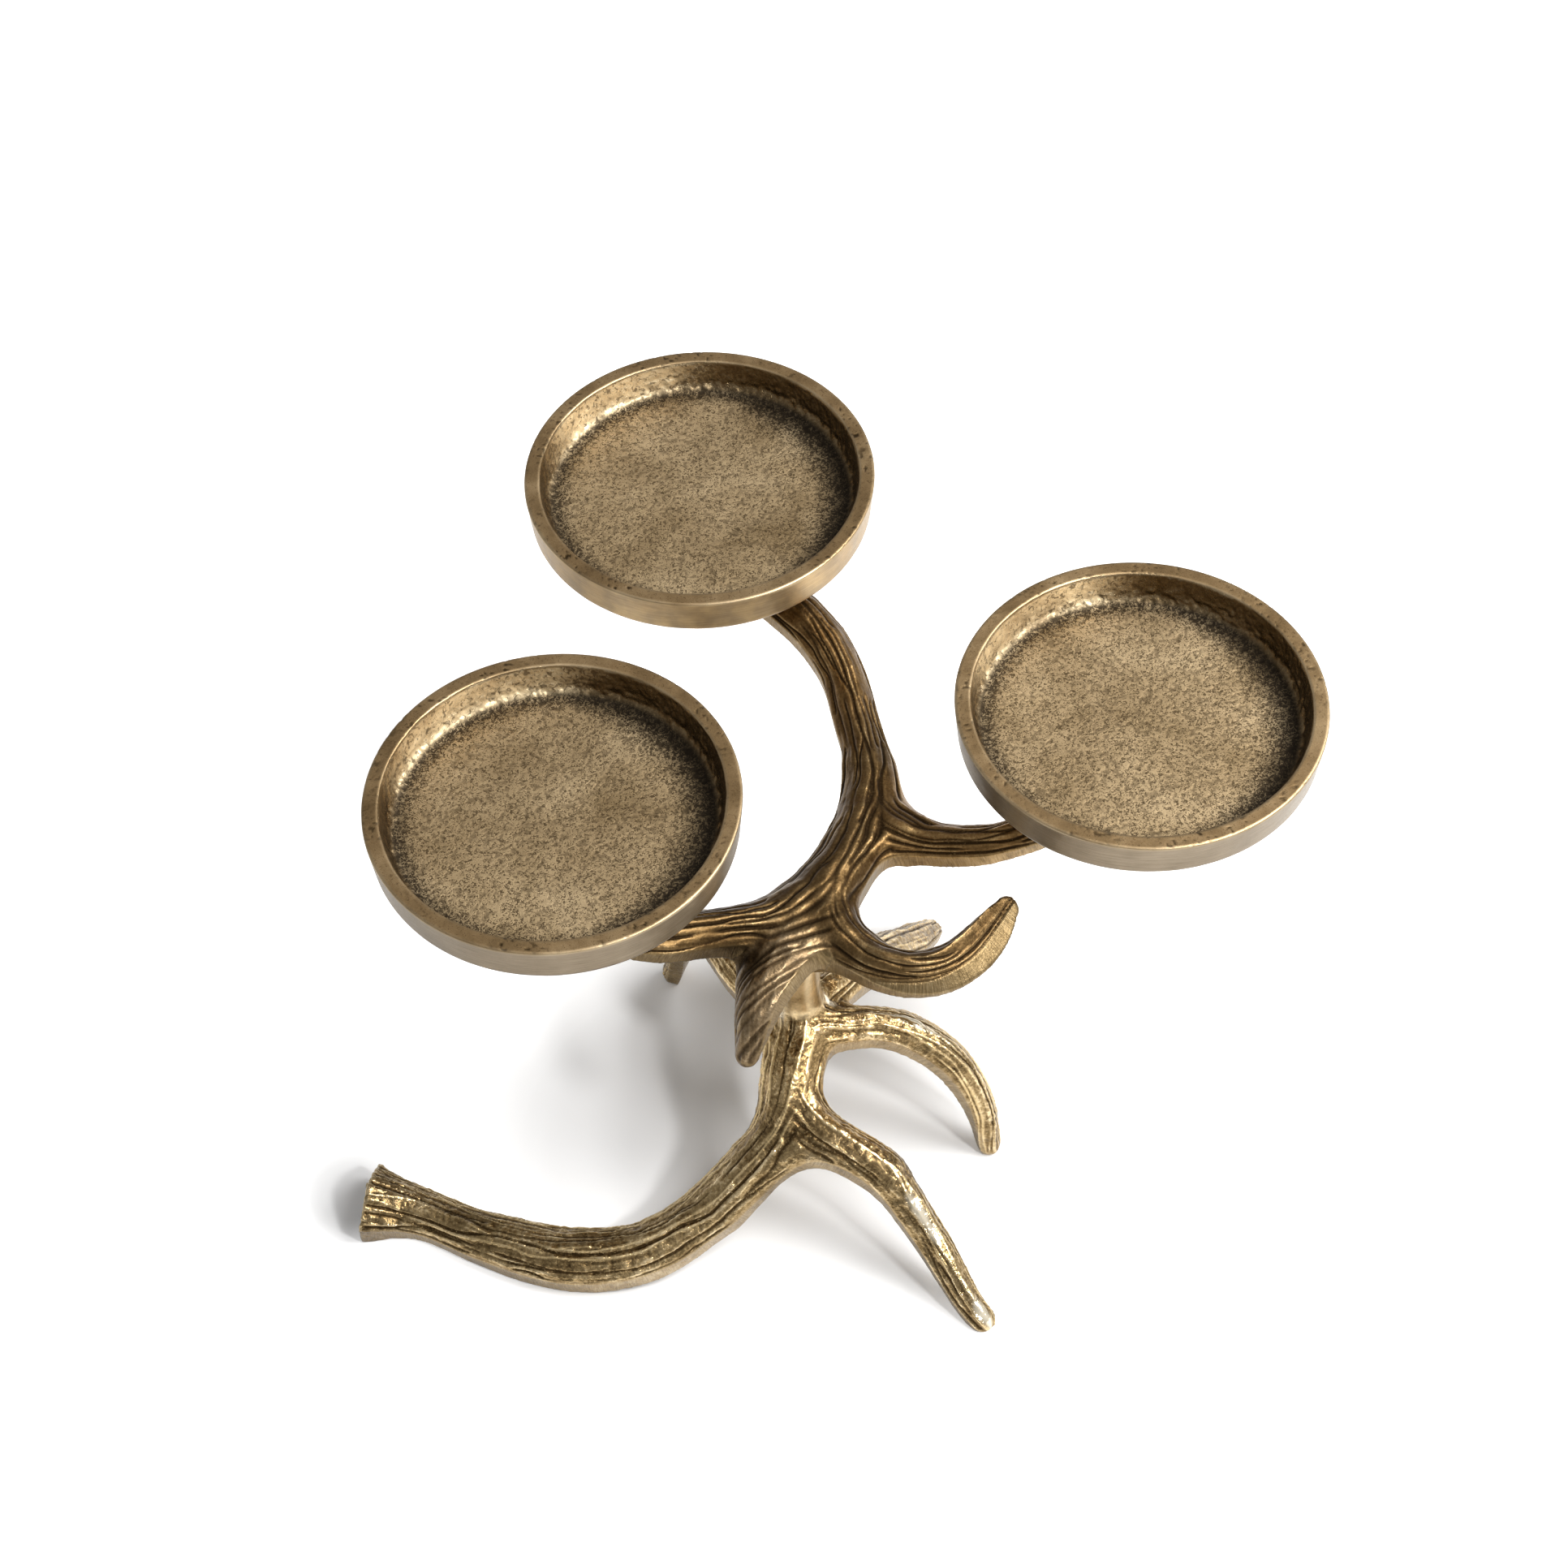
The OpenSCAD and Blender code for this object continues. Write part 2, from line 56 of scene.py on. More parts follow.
def make_camera():
    data = bpy.data.cameras.new("camera")
    data.sensor_width = SENSOR_W
    data.lens = FOCAL_LENGTH / PHOTO_W * SENSOR_W
    data.clip_start, data.clip_end = 0.01, 50.0
    camera = placed("camera", data)
    tilt = Matrix.Rotation(math.radians(90 - CAMERA_PITCH), 4, "X")
    roll = Matrix.Rotation(math.radians(CAMERA_ROLL), 4, "Z")
    camera.matrix_world = Matrix.Translation(Vector(CAMERA_AT) * MM) @ tilt @ roll
    bpy.context.scene.camera = camera


make_camera()

# sizes shared with the solids, in millimetres
STAND_H, LOW_HUB_H, UP_HUB_H = 135.0, 50.0, 93.0
PAN_D, PAN_H, PAN_RIM, PAN_FLOOR = 110.0, 14.0, 5.0, 3.5
PAN_COVE, PAN_TAPER, PAN_EDGE = 4.0, 1.0, 3.0
BOSS_D, BOSS_H = 24.0, 5.0
ARM_W, ARM_T, PAD_D, PAD_T = 15.0, 12.0, 22.0, 7.0
FRONT_TINE_W, SIDE_TINE_W, FRONT_TINE_FAR, SIDE_TINE_FAR = 20.0, 12.0, 36.0, 62.0
BEAM_W, BEAM_T, BEAM_FLARE, BEAM_FAR = 18.0, 13.5, 6.0, 139.0
NEAR_FAR, SIDE_FAR, BACK_FAR, LEFT_FAR = 95.0, 61.0, 78.0, 65.0
TINE_W, TINE_T, COLUMN_D = 13.0, 11.0, 14.0
TOP_PART = 0.6
PAN_UNDER = STAND_H - PAN_H
SEAT_Z = PAN_UNDER - BOSS_H
PAD_UNDER = SEAT_Z - PAD_T
COLUMN_TOP = UP_HUB_H - ARM_T * (1 - TOP_PART) + 0.5
BOLT_SEAT = LOW_HUB_H - BEAM_T * (1 - TOP_PART) + 1
# places are measured from the column's axis, and the frame's origin lies here
MIDDLE = np.array([10.1932, 59.4854, 0.0])


def turned(far, turn):
    """A place so far from the column, turned by degrees from the x axis."""
    a = math.radians(turn)
    return np.array([far * math.cos(a), far * math.sin(a), 0.0])


PANS = {"back": turned(150.0, 99.9), "left": turned(72.2, 163.5), "right": turned(114.8, 25.8)}


def bends(start, end, width, thick, rows):
    """Rows are [part of the reach, part of it to the left, part of the rise, more width, more thickness]."""
    a, b = np.array(start, float), np.array(end, float)
    out = []
    for along, left, rise, w, t in rows:
        x = a[0] + (b[0] - a[0]) * along - (b[1] - a[1]) * left
        y = a[1] + (b[1] - a[1]) * along + (b[0] - a[0]) * left
        out.append([x, y, a[2] + (b[2] - a[2]) * rise, width + w, thick + t])
    return out


def lifted(p, z):
    return [p[0], p[1], z]


def in_arms(q):
    return [q[0] * ARM_W, q[1] * ARM_W, UP_HUB_H + q[2] * ARM_T]


TIP_Z = 2
ARM_Z = SEAT_Z - PAD_T * TOP_PART
LOW = [0, 0, LOW_HUB_H]
BEAM_END = [-0.9675 * BEAM_FAR, -0.2525 * BEAM_FAR, (1 - TOP_PART) * BEAM_T + 1.5]
NEAR_FOOT = [0.547 * NEAR_FAR, -0.8396 * NEAR_FAR, TIP_Z]
SIDE_FOOT = [0.953 * SIDE_FAR, -0.303 * SIDE_FAR, TIP_Z]
BACK_FOOT = [0.568 * BACK_FAR, 0.823 * BACK_FAR, TIP_Z]
LEFT_FOOT = [-0.6184 * LEFT_FAR, 0.7859 * LEFT_FAR, TIP_Z]

BEAM_WAY = bends(LOW, BEAM_END, BEAM_W, BEAM_T, [
    [0, 0, 0, -2, 0], [0.05, 0.11, 0.14, -2, 0], [0.1, 0.19, 0.4, -2, 0], [0.15, 0.22, 0.55, -1, 0],
    [0.22, 0.25, 0.69, -1, 0], [0.31, 0.28, 0.84, -1, -1], [0.45, 0.3, 0.99, 0, 0],
    [0.61, 0.26, 1.04, 1, 0], [0.77, 0.16, 1.04, -2, -2], [0.89, 0.06, 1.03, -3, -3],
    [1, 0, 1, BEAM_FLARE - 0.5, 0.7 * BEAM_FLARE]])
LEFT_WAY = bends(LOW, LEFT_FOOT, TINE_W, TINE_T, [
    [0.27, 0.07, -0.02, 0, 0], [0.51, 0.03, -0.02, 0, 0], [0.7, -0.01, 0.07, -1, -1],
    [0.84, -0.03, 0.32, -2, -2], [0.94, -0.03, 0.68, -3, -3], [1, 0, 1, -5, -4]])
NEAR_WAY = bends(LOW, NEAR_FOOT, TINE_W, TINE_T, [
    [0.08, -0.02, 0.02, -1, 0], [0.16, -0.12, 0.16, -1, 0], [0.26, -0.15, 0.26, -1, 0],
    [0.39, -0.11, 0.33, -1, 0], [0.53, -0.045, 0.42, -1, -1], [0.67, -0.02, 0.61, -2, -1],
    [0.81, -0.01, 0.79, -3, -2], [0.93, -0.01, 0.93, -4, -3], [1, 0, 1, -5, -4]])
BELLY_WAY = bends(LOW, NEAR_FOOT, TINE_W, TINE_T, [
    [0.27, -0.5, 0.7, -5, -3], [0.29, -0.33, 0.46, -4, -2], [0.34, -0.19, 0.34, -3, -2],
    [0.43, -0.1, 0.34, -3, -2], [0.53, -0.03, 0.42, -5, -4]])
SIDE_WAY = bends(LOW, SIDE_FOOT, TINE_W, TINE_T, [
    [0.05, -0.43, 0.29, -4, -2], [0.04, -0.3, 0.17, -3, -1], [0.04, -0.16, 0.05, -2, 0],
    [0.1, -0.04, 0, -1, 0], [0.22, -0.03, 0, -1, 0], [0.37, 0.05, 0.01, -1, 0],
    [0.54, 0.09, 0.09, -1, 0], [0.78, 0.09, 0.32, -2, -1], [0.94, 0.05, 0.68, -4, -2], [1, 0, 1, -6, -4]])
BACK_WAY = bends(LOW, BACK_FOOT, TINE_W, TINE_T, [
    [-0.1, 0.02, 0.1, -2, -1], [0.06, -0.02, 0, 0, 0], [0.21, -0.05, 0.02, 0, 0],
    [0.51, -0.04, 0.29, 1, -1], [0.78, -0.03, 0.67, 0, -2], [1, 0, 1, -5, -4]])

HUB = in_arms([0.18, 0.67, 0])
LEFT_ARM = bends(HUB, lifted(PANS["left"], ARM_Z), ARM_W, ARM_T, [
    [0.12, 0.12, 0.06, 0, 0], [0.27, 0.19, 0.22, -1, 0], [0.42, 0.26, 0.39, -1, -1],
    [0.55, 0.33, 0.58, -1, -1], [0.75, 0.33, 0.78, -1, -2], [0.92, 0.22, 0.89, 0, -3],
    [1, 0, 1, 0, PAD_T - ARM_T]])
BACK_ARM = bends(HUB, lifted(PANS["back"], ARM_Z), ARM_W, ARM_T, [
    [0, 0, 0, 2, 0], [0.06, -0.08, 0, 1, 0], [0.12, -0.13, 0, 1, 0], [0.21, -0.18, 0, 0, 0],
    [0.34, -0.22, 0.06, -1, 0], [0.45, -0.22, 0.17, -1, 0], [0.57, -0.22, 0.33, -1, 0],
    [0.69, -0.18, 0.56, 0, 0], [0.85, -0.08, 0.78, 1, -2], [1, 0, 1, 0, PAD_T - ARM_T]])
RIGHT_ARM = bends(in_arms([1.5, 2.00, 0]), lifted(PANS["right"], ARM_Z), ARM_W, ARM_T, [
    [0, 0, 0, -4, -2], [0.12, 0, 0.06, -4, -2], [0.27, -0.09, 0.15, -5, -2], [0.42, -0.16, 0.37, -5, -2],
    [0.71, -0.15, 0.72, -2, -2], [1, 0, 1, 0, PAD_T - ARM_T]])
FORK_WAY = bends(in_arms([1.53, 4, 0]), lifted(PANS["right"], ARM_Z), ARM_W, ARM_T, [
    [0, 0, 0, -6, -3], [0.03, -0.16, -0.03, -5, -2], [0.11, -0.28, 0, -4, -2],
    [0.22, -0.34, 0.05, -5, -2], [0.34, -0.36, 0.13, -6, -3], [0.51, -0.37, 0.37, -8, -5]])
ELBOW = [[0.93, 1.45, 0], [0.66, 0.66, 0], [0.87, -0.23, 0]]
ELBOW_WAY = [in_arms(q) + [SIDE_TINE_W, ARM_T - 1] for q in ELBOW]
STEM = [in_arms(q) + [SIDE_TINE_W - 2, ARM_T - 2] for q in [[1.33, 2.53, 0], [0.93, 1.53, 0]] + ELBOW[1:]]
SIDE_TIP = [0.997 * SIDE_TINE_FAR, 0.074 * SIDE_TINE_FAR, UP_HUB_H + ARM_T / 4]
SIDE_TINE = bends(in_arms(ELBOW[1]), SIDE_TIP, SIDE_TINE_W, ARM_T, [
    [0.3, -0.4, -0.33, 0, -1], [0.58, -0.42, -0.4, 0, -2], [0.8, -0.3, 0.1, -2, -3],
    [0.94, -0.1, 0.65, -4, -5], [1, 0, 1, -6, -6]])
FRONT_TIP = [-0.434 * FRONT_TINE_FAR, -0.901 * FRONT_TINE_FAR, UP_HUB_H - 1.25 * ARM_T]
FRONT_TINE = bends(in_arms([1.07, 1.74, 0]), FRONT_TIP, FRONT_TINE_W, ARM_T, [
    [0, 0, 0, -8, -1], [0.23, -0.01, 0, -3, -0.5], [0.44, -0.03, 0, 1, 0], [0.6, -0.04, 0.03, 0, -0.5],
    [0.73, -0.04, 0.13, -3, -1], [0.85, -0.03, 0.33, -7, -2], [0.95, -0.01, 0.67, -10, -4],
    [1, 0, 1, -13, -6]])
BLADE_MORE = (0.5, 1.5, 3, 3.5, 1)
SIDE_BLADE = [[x, y, z, w + more, t + more] for (x, y, z, w, t), more in zip(SIDE_TINE, BLADE_MORE)]


def by_hub(*rows):
    """Rows of a place in arm widths and thicknesses, then a width and a thickness in millimetres."""
    return [in_arms(row[:3]) + list(row[3:]) for row in rows]


HUB_FRONT = by_hub((-0.2, 0, -0.2, 11, 9.5), (0.27, -0.1, -0.25, 12, 10), (0.8, -0.17, -0.25, 12, 10),
                   (1.27, -0.4, -0.17, 11, 9.5))
HUB_LEFT = by_hub((-0.6, 0.35, -0.3, 10, 9), (-0.72, -0.05, -0.3, 9, 8), (-0.8, -0.5, -0.35, 8, 7),
                  (-0.84, -0.9, -0.4, 7, 6))
FORK_CURL = by_hub((1.81, 3.95, 0, 8, 8.5), (1.96, 3.05, 0, 9, 8.5), (2.4, 2.45, 0.05, 9, 8.5),
                   (3.05, 2.07, 0.15, 8, 8), (3.7, 1.95, 0.3, 7, 7))


# smooth ways through the bends
def on_way(p, t):
    """Points on a smooth curve through the rows p, at the places t, which count rows."""
    p = np.asarray(p, float)
    last = len(p) - 1
    t = np.atleast_1d(np.asarray(t, float))
    i = np.clip(np.floor(t).astype(int), 0, last - 1)
    k = (t - i)[:, None]
    a, b, c, d = p[np.maximum(i - 1, 0)], p[i], p[i + 1], p[np.minimum(i + 2, last)]
    bow, swing = 2 * a - 5 * b + 4 * c - d, 3 * b - a - 3 * c + d
    return (2 * b + (c - a) * k + bow * k ** 2 + swing * k ** 3) / 2


def normal_to(v):
    return v / np.maximum(np.linalg.norm(v, axis=-1, keepdims=True), 1e-9)


def eased(v, reach):
    """Values along a way, smoothed over about so many samples, with both ends kept."""
    n = min(int(3 * reach), len(v) - 2)
    k = np.exp(-0.5 * (np.arange(-n, n + 1) / reach) ** 2)
    wide = np.concatenate([2 * v[0] - v[n:0:-1], v, 2 * v[-1] - v[-2:-n - 2:-1]])
    return np.stack([np.convolve(wide[:, i], k / k.sum(), "valid") for i in range(v.shape[1])], 1)


WAY_STEP = 0.5
LINE_EASE, AIM_EASE = 4.5, 3


class Way:
    """A branch's line, sampled about every WAY_STEP, with its frame and half sizes.

    Lean turns the branch round its line, by degrees at each row. A facet is a flat ground on its back: the
    turn of its plane, and how far off the line it lies at parts of the length.
    """

    def __init__(self, rows, cut_start=False, lean=None, facet=None):
        self.cut_start, self.facet = cut_start, facet
        p = np.asarray(rows, float)
        last = len(p) - 1
        place = np.linspace(0, last, 40 * last + 1)
        steps = np.linalg.norm(np.diff(on_way(p, place)[:, :3], axis=0), axis=1)
        length = np.concatenate([[0], np.cumsum(steps)])
        self.length = length[-1]
        self.along = np.linspace(0, self.length, max(int(self.length / WAY_STEP), 4) + 1)
        t = np.interp(self.along, length, place)
        q = eased(on_way(p, t), LINE_EASE / WAY_STEP)
        self.at = q[:, :3]
        self.ahead = normal_to(eased(np.gradient(self.at, axis=0), AIM_EASE / WAY_STEP))
        side = normal_to(np.cross(self.ahead, [0.0, 0.0, 1.0]))
        up = np.cross(side, self.ahead)
        turn = np.radians(np.interp(t, np.arange(len(p)), lean or np.zeros(len(p))))[:, None]
        self.side = side * np.cos(turn) + up * np.sin(turn)
        self.up = up * np.cos(turn) - side * np.sin(turn)
        self.half = q[:, 3] / 2
        self.top = q[:, 4] * TOP_PART
        self.low = q[:, 4] * (1 - TOP_PART)


SEEK_EVERY, SEEK_BATCH = 3, 50000


def read_way(way, co):
    """Where points lie by a branch: across, above, beyond its ends, ahead, along, and its half sizes."""
    sample = way.at[::SEEK_EVERY]
    best = np.empty(len(co), int)
    size = (sample ** 2).sum(1)[None]
    for s in range(0, len(co), SEEK_BATCH):
        best[s:s + SEEK_BATCH] = (size - 2 * co[s:s + SEEK_BATCH] @ sample.T).argmin(1) * SEEK_EVERY
    last = len(way.at) - 1
    step = way.length / last
    spot, run = best.astype(float), 0.0
    for _ in range(3):
        spot = np.clip(spot + run / step, 0, last)
        i = np.clip(spot.astype(int), 0, last - 1)
        f = spot - i
        g = f[:, None]
        v = co - (way.at[i] * (1 - g) + way.at[i + 1] * g)
        run = (v * way.ahead[i]).sum(1)
    x, y = (v * way.side[i]).sum(1), (v * way.up[i]).sum(1)
    half, top, low = (q[i] * (1 - f) + q[i + 1] * f for q in (way.half, way.top, way.low))
    beyond = np.where(spot <= 0, np.maximum(-run, 0), np.where(spot >= last, np.maximum(run, 0), 0))
    return x, y, beyond, run, spot * step, half, top, low


# the dome's bow, its drop at the edge, and the lean of the side walls
ARCH, ARCH_DROP, DRAFT = 1.75, 0.74, 0.12


def branch_distance(way, co):
    """About the distance to a branch's skin: a dome over ground side walls and a flat underside."""
    x, y, beyond, run, along, half, top, low = read_way(way, co)
    if way.cut_start:
        beyond = np.where(along <= 0, 0, beyond)
    flat = np.sqrt(x * x + beyond * beyond)
    out = np.minimum(flat / half, 1.6)
    steep = np.hypot(1 / top, ARCH_DROP * ARCH * out ** (ARCH - 1) / half)
    dome = (y / top + ARCH_DROP * out ** ARCH - 1) / steep
    walls = flat - half - DRAFT * np.minimum(y, 2.0)
    if way.facet is not None:
        turn, off = way.facet
        off = np.interp(along / way.length, *off)
        dome = np.maximum(dome, x * math.cos(turn) + y * math.sin(turn) - off)
    under = -y - low + 0.35 * np.maximum(beyond - half * 0.2, 0)
    d = np.maximum(np.maximum(dome, walls), under)
    if way.cut_start:
        d = np.where(along <= 0, np.maximum(d, -run), d)
    return d


FORK_SOFT = 0.5
WAY_REACH, FAR, FARTHEST = 16, 40.0, 60


class Casting:
    """A field of branches drawn together at their forks, with turned pieces added and cut away."""

    def __init__(self, ways, added, cut, floor):
        self.ways, self.added, self.cut, self.floor = ways, added, cut, floor

    def at(self, co):
        total = np.zeros(len(co))
        near = np.full(len(co), FAR)
        for way in self.ways:
            lo, hi = way.at.min(0) - WAY_REACH, way.at.max(0) + WAY_REACH
            inside = np.flatnonzero(((co > lo) & (co < hi)).all(1))
            if len(inside):
                d = branch_distance(way, co[inside])
                total[inside] += np.exp(-FORK_SOFT * np.minimum(d, FARTHEST))
                near[inside] = np.minimum(near[inside], d)
        for add in self.added:
            total += np.exp(-FORK_SOFT * np.clip(add(co), -FAR, FARTHEST))
        d = np.where(total > 1e-9, -np.log(np.maximum(total, 1e-30)) / FORK_SOFT, near)
        for c in self.cut:
            d = np.maximum(d, c(co))
        if self.floor:
            d = np.maximum(d, -co[:, 2])
        return d


CORNERS = list(itertools.product((0, 1), repeat=3))
BLOCK_CELLS, BLOCKS_AT_ONCE = 5, 2000


def meshed(field, lo, hi, cell):
    """The net of quads on the field's skin. Only the blocks of cells near the skin are read in full."""
    lo, hi, per = np.asarray(lo, float), np.asarray(hi, float), BLOCK_CELLS
    block = cell * per
    n = np.ceil((hi - lo) / block).astype(int)
    grid = np.stack(np.meshgrid(*[np.arange(k) for k in n], indexing="ij"), -1).reshape(-1, 3)
    centre = lo + (grid + 0.5 - 0.5 / per) * block
    far = field.at(centre)
    near = np.abs(far) < block * 0.9 + 1.6
    v = np.repeat(np.repeat(np.repeat(np.sign(far).reshape(n).astype(np.float32), per, 0), per, 1), per, 2)
    inner = np.stack(np.meshgrid(*[np.arange(per)] * 3, indexing="ij"), -1).reshape(-1, 3)
    chosen = grid[near]
    for s in range(0, len(chosen), BLOCKS_AT_ONCE):
        ijk = (chosen[s:s + BLOCKS_AT_ONCE, None] * per + inner[None]).reshape(-1, 3)
        v[ijk[:, 0], ijk[:, 1], ijk[:, 2]] = field.at(lo + ijk * cell)
    return net_of(v, lo, cell)


def net_of(v, lo, cell):
    """A point in each cell that the skin crosses, and a quad round each edge that it crosses."""
    s = v < 0
    count = np.zeros([k - 1 for k in v.shape], np.int8)
    for a, b, c in CORNERS:
        count += s[a:count.shape[0] + a, b:count.shape[1] + b, c:count.shape[2] + c]
    active = np.flatnonzero((count > 0) & (count < len(CORNERS)))
    i, j, k = np.unravel_index(active, count.shape)
    ijk = np.stack([i, j, k], 1)
    value = {(a, b, c): v[i + a, j + b, k + c].astype(float) for a, b, c in CORNERS}
    place, times = np.zeros((len(active), 3)), np.zeros(len(active))
    for a, va in value.items():
        for axis in range(3):
            if a[axis]:
                continue
            b = tuple(1 if k == axis else a[k] for k in range(3))
            vb = value[b]
            cross = (va < 0) != (vb < 0)
            t = np.where(cross, va / np.where(cross, va - vb, 1), 0)
            for k in range(3):
                place[:, k] += np.where(cross, t if k == axis else a[k], 0)
            times += cross
    co = lo + (ijk + place / times[:, None]) * cell
    number = np.full(count.shape, -1, np.int32)
    number.ravel()[active] = np.arange(len(active))
    faces = []
    for axis in range(3):
        u, w = (axis + 1) % 3, (axis + 2) % 3
        shape = [slice(1, -1)] * 3
        here, there = list(shape), list(shape)
        here[axis], there[axis] = slice(0, -1), slice(1, None)
        p, q = s[tuple(here)], s[tuple(there)]
        for sign, pick in ((1, p & ~q), (-1, ~p & q)):
            e = np.stack(np.nonzero(pick), 1)
            e[:, u] += 1
            e[:, w] += 1
            corners = []
            for du, dw in ((-1, -1), (0, -1), (0, 0), (-1, 0)):
                c = e.copy()
                c[:, u] += du
                c[:, w] += dw
                corners.append(number[c[:, 0], c[:, 1], c[:, 2]])
            quad = np.stack(corners, 1)
            faces.append(quad if sign > 0 else quad[:, ::-1])
    return co, np.concatenate(faces)


def mesh_object(name, co, quads, tris=()):
    tris = np.asarray(tris, int).reshape(-1, 3)
    mesh = bpy.data.meshes.new(name)
    mesh.vertices.add(len(co))
    mesh.vertices.foreach_set("co", co.astype(np.float32).ravel())
    mesh.loops.add(quads.size + tris.size)
    mesh.loops.foreach_set("vertex_index", np.concatenate([quads.ravel(), tris.ravel()]).astype(np.int32))
    mesh.polygons.add(len(quads) + len(tris))
    starts = np.concatenate([np.arange(len(quads)) * 4, quads.size + np.arange(len(tris)) * 3])
    mesh.polygons.foreach_set("loop_start", starts.astype(np.int32))
    mesh.update(calc_edges=True)
    mesh.validate()
    return placed(name, mesh)


def at_vertices(mesh, kind):
    """The vertices' places, as co, or their normals, as normal."""
    v = np.empty(len(mesh.vertices) * 3, np.float32)
    mesh.vertices.foreach_get(kind, v)
    return v.reshape(-1, 3).astype(float)


def put(mesh, co):
    mesh.vertices.foreach_set("co", co.astype(np.float32).ravel())
    mesh.update()


class Net:
    """Each vertex's neighbours along edges, for smoothing."""

    def __init__(self, mesh):
        e = np.empty(len(mesh.edges) * 2, np.int32)
        mesh.edges.foreach_get("vertices", e)
        e = e.reshape(-1, 2)
        self.n = len(mesh.vertices)
        self.a = np.concatenate([e[:, 0], e[:, 1]])
        self.b = np.concatenate([e[:, 1], e[:, 0]])
        self.count = np.maximum(np.bincount(self.a, minlength=self.n), 1)

    def mean(self, v):
        return np.stack([np.bincount(self.a, v[self.b, i], self.n) / self.count for i in range(3)], 1)

    def blur(self, v, times):
        for _ in range(times):
            v = v + (self.mean(v) - v) / 2
        return v


# noise
def hashed(x, y, z, seed):
    """A number from -1 to 1 for each whole place, with no pattern."""
    h = (x * 374761393 + y * 668265263 + z * 2147483647 + seed * 974634777) & 0xFFFFFFFF
    h = ((h ^ (h >> 13)) * 1274126177) & 0xFFFFFFFF
    h = ((h ^ (h >> 16)) * 2246822519) & 0xFFFFFFFF
    return ((h ^ (h >> 13)) & 0xFFFFFF) / float(0xFFFFFF) * 2 - 1


def noise(p, size, seed):
    """Smooth value noise from -1 to 1."""
    q = np.asarray(p, float) / size
    cell = np.floor(q).astype(np.int64)
    f = q - cell
    f = f * f * f * (f * (f * 6 - 15) + 10)
    x, y, z = cell[:, 0], cell[:, 1], cell[:, 2]
    share = (1 - f, f)
    out = 0
    for a, b, c in CORNERS:
        out = out + share[a][:, 0] * share[b][:, 1] * share[c][:, 2] * hashed(x + a, y + b, z + c, seed)
    return out


def line_noise(x, size, seed):
    return noise(np.stack([x, np.zeros_like(x) + 0.37, np.zeros_like(x) + 0.61], 1), size, seed)


def step_up(x, a, b):
    """Smoothly from 0 at a to 1 at b."""
    k = np.clip((x - a) / (b - a), 0, 1)
    return k * k * (3 - 2 * k)


# where the leaf's veins start to slide round it, and over how long they ease into that, in millimetres
SLIDE_FROM, SLIDE_EASE = 20.0, 18.0
MOST_TURNS = 12


def grooves(s, seed, gap=2.1, width=0.42, wave=0.13, shear=0.0, filled=0.35, raised=0.0, deep=1.0):
    """Long grooves down a branch: each has its own wander, stretches and depth. 0 is level, -1 is deep.

    The raised share of them stand out as thin ridges instead. With shear they slide round the branch.
    """
    rng = np.random.default_rng(seed)
    t = s["along"]
    wide = np.full(len(t), float(np.max(s["arc"]))) if shear else s["arc"]
    slide = np.where(t < SLIDE_FROM + SLIDE_EASE, np.maximum(t - SLIDE_FROM, 0) ** 2 / (2 * SLIDE_EASE),
                     t - SLIDE_FROM - SLIDE_EASE / 2)
    across = s["turn"] * s["arc"] / wide + shear * slide / wide
    most = 1.0 + abs(shear) * MOST_TURNS
    low, high = max(float(across.min()), -most), min(float(across.max()), most)
    count = max(int((high - low) * float(np.max(s["arc"])) / gap), 5)
    at = low + (np.arange(count) + 0.5 + rng.uniform(-0.3, 0.3, count)) / count * (high - low)
    h, ridge = np.zeros(len(t)), np.zeros(len(t))
    for k in range(count):
        wander = wave * line_noise(t, 24, seed * 31 + k) + 0.35 * wave * line_noise(t, 8, seed * 37 + k + 7)
        d = (across - at[k] - wander) * wide
        on = step_up(line_noise(t, 15, seed * 41 + k + 3), -filled - 0.35, -filled + 0.1)
        depth = 0.5 + 0.5 * rng.uniform()
        w = width * (0.8 + 0.6 * rng.uniform()) * (0.85 + 0.3 * line_noise(t, 6, seed * 43 + k))
        cut = 0.72 * np.exp(-np.abs(d / w) ** 1.6) + 0.28 * np.exp(-(d / (2.3 * w)) ** 2)
        if rng.uniform() < raised:
            ridge = np.maximum(ridge, np.exp(-np.abs(d / w) ** 1.8) * (0.25 + 0.75 * on) * depth)
        else:
            h = np.minimum(h, -cut * on * depth * deep)
    return h + 0.62 * ridge


def streaks(s, seed):
    """Fine streaks along a branch, from -1 to 1."""
    t, a = s["along"], s["turn"] * s["arc"]
    rows = np.stack([t / 11, a / 0.95, np.full(len(t), seed * 3.7)], 1)
    fine = np.stack([t / 5, a / 0.5, np.full(len(t), seed * 5.1)], 1)
    return 0.65 * noise(rows, 1.0, seed) + 0.35 * noise(fine, 1.0, seed + 1)


def read_flows(flows, co):
    """How far off each flow the points lie, their place along and round it, and a quarter turn's length."""
    out = []
    for way in flows:
        x, y, beyond, run, along, half, top, low = read_way(way, co)
        far = np.sqrt((x / half) ** 2 + np.where(y > 0, y / top, y / low) ** 2 + (beyond / half) ** 2)
        turn = np.arctan2(x / half, y / top) / (math.pi / 2)
        arc = (math.pi / 2) * np.sqrt((half ** 2 + top ** 2) / 2)
        out.append(dict(far=far, along=along, turn=turn, arc=arc))
    return out


def keep(mesh, **values):
    """Values at the vertices, for the materials to read."""
    for label, v in values.items():
        mesh.attributes.new(label, "FLOAT", "POINT").data.foreach_set("value", np.asarray(v, np.float32))


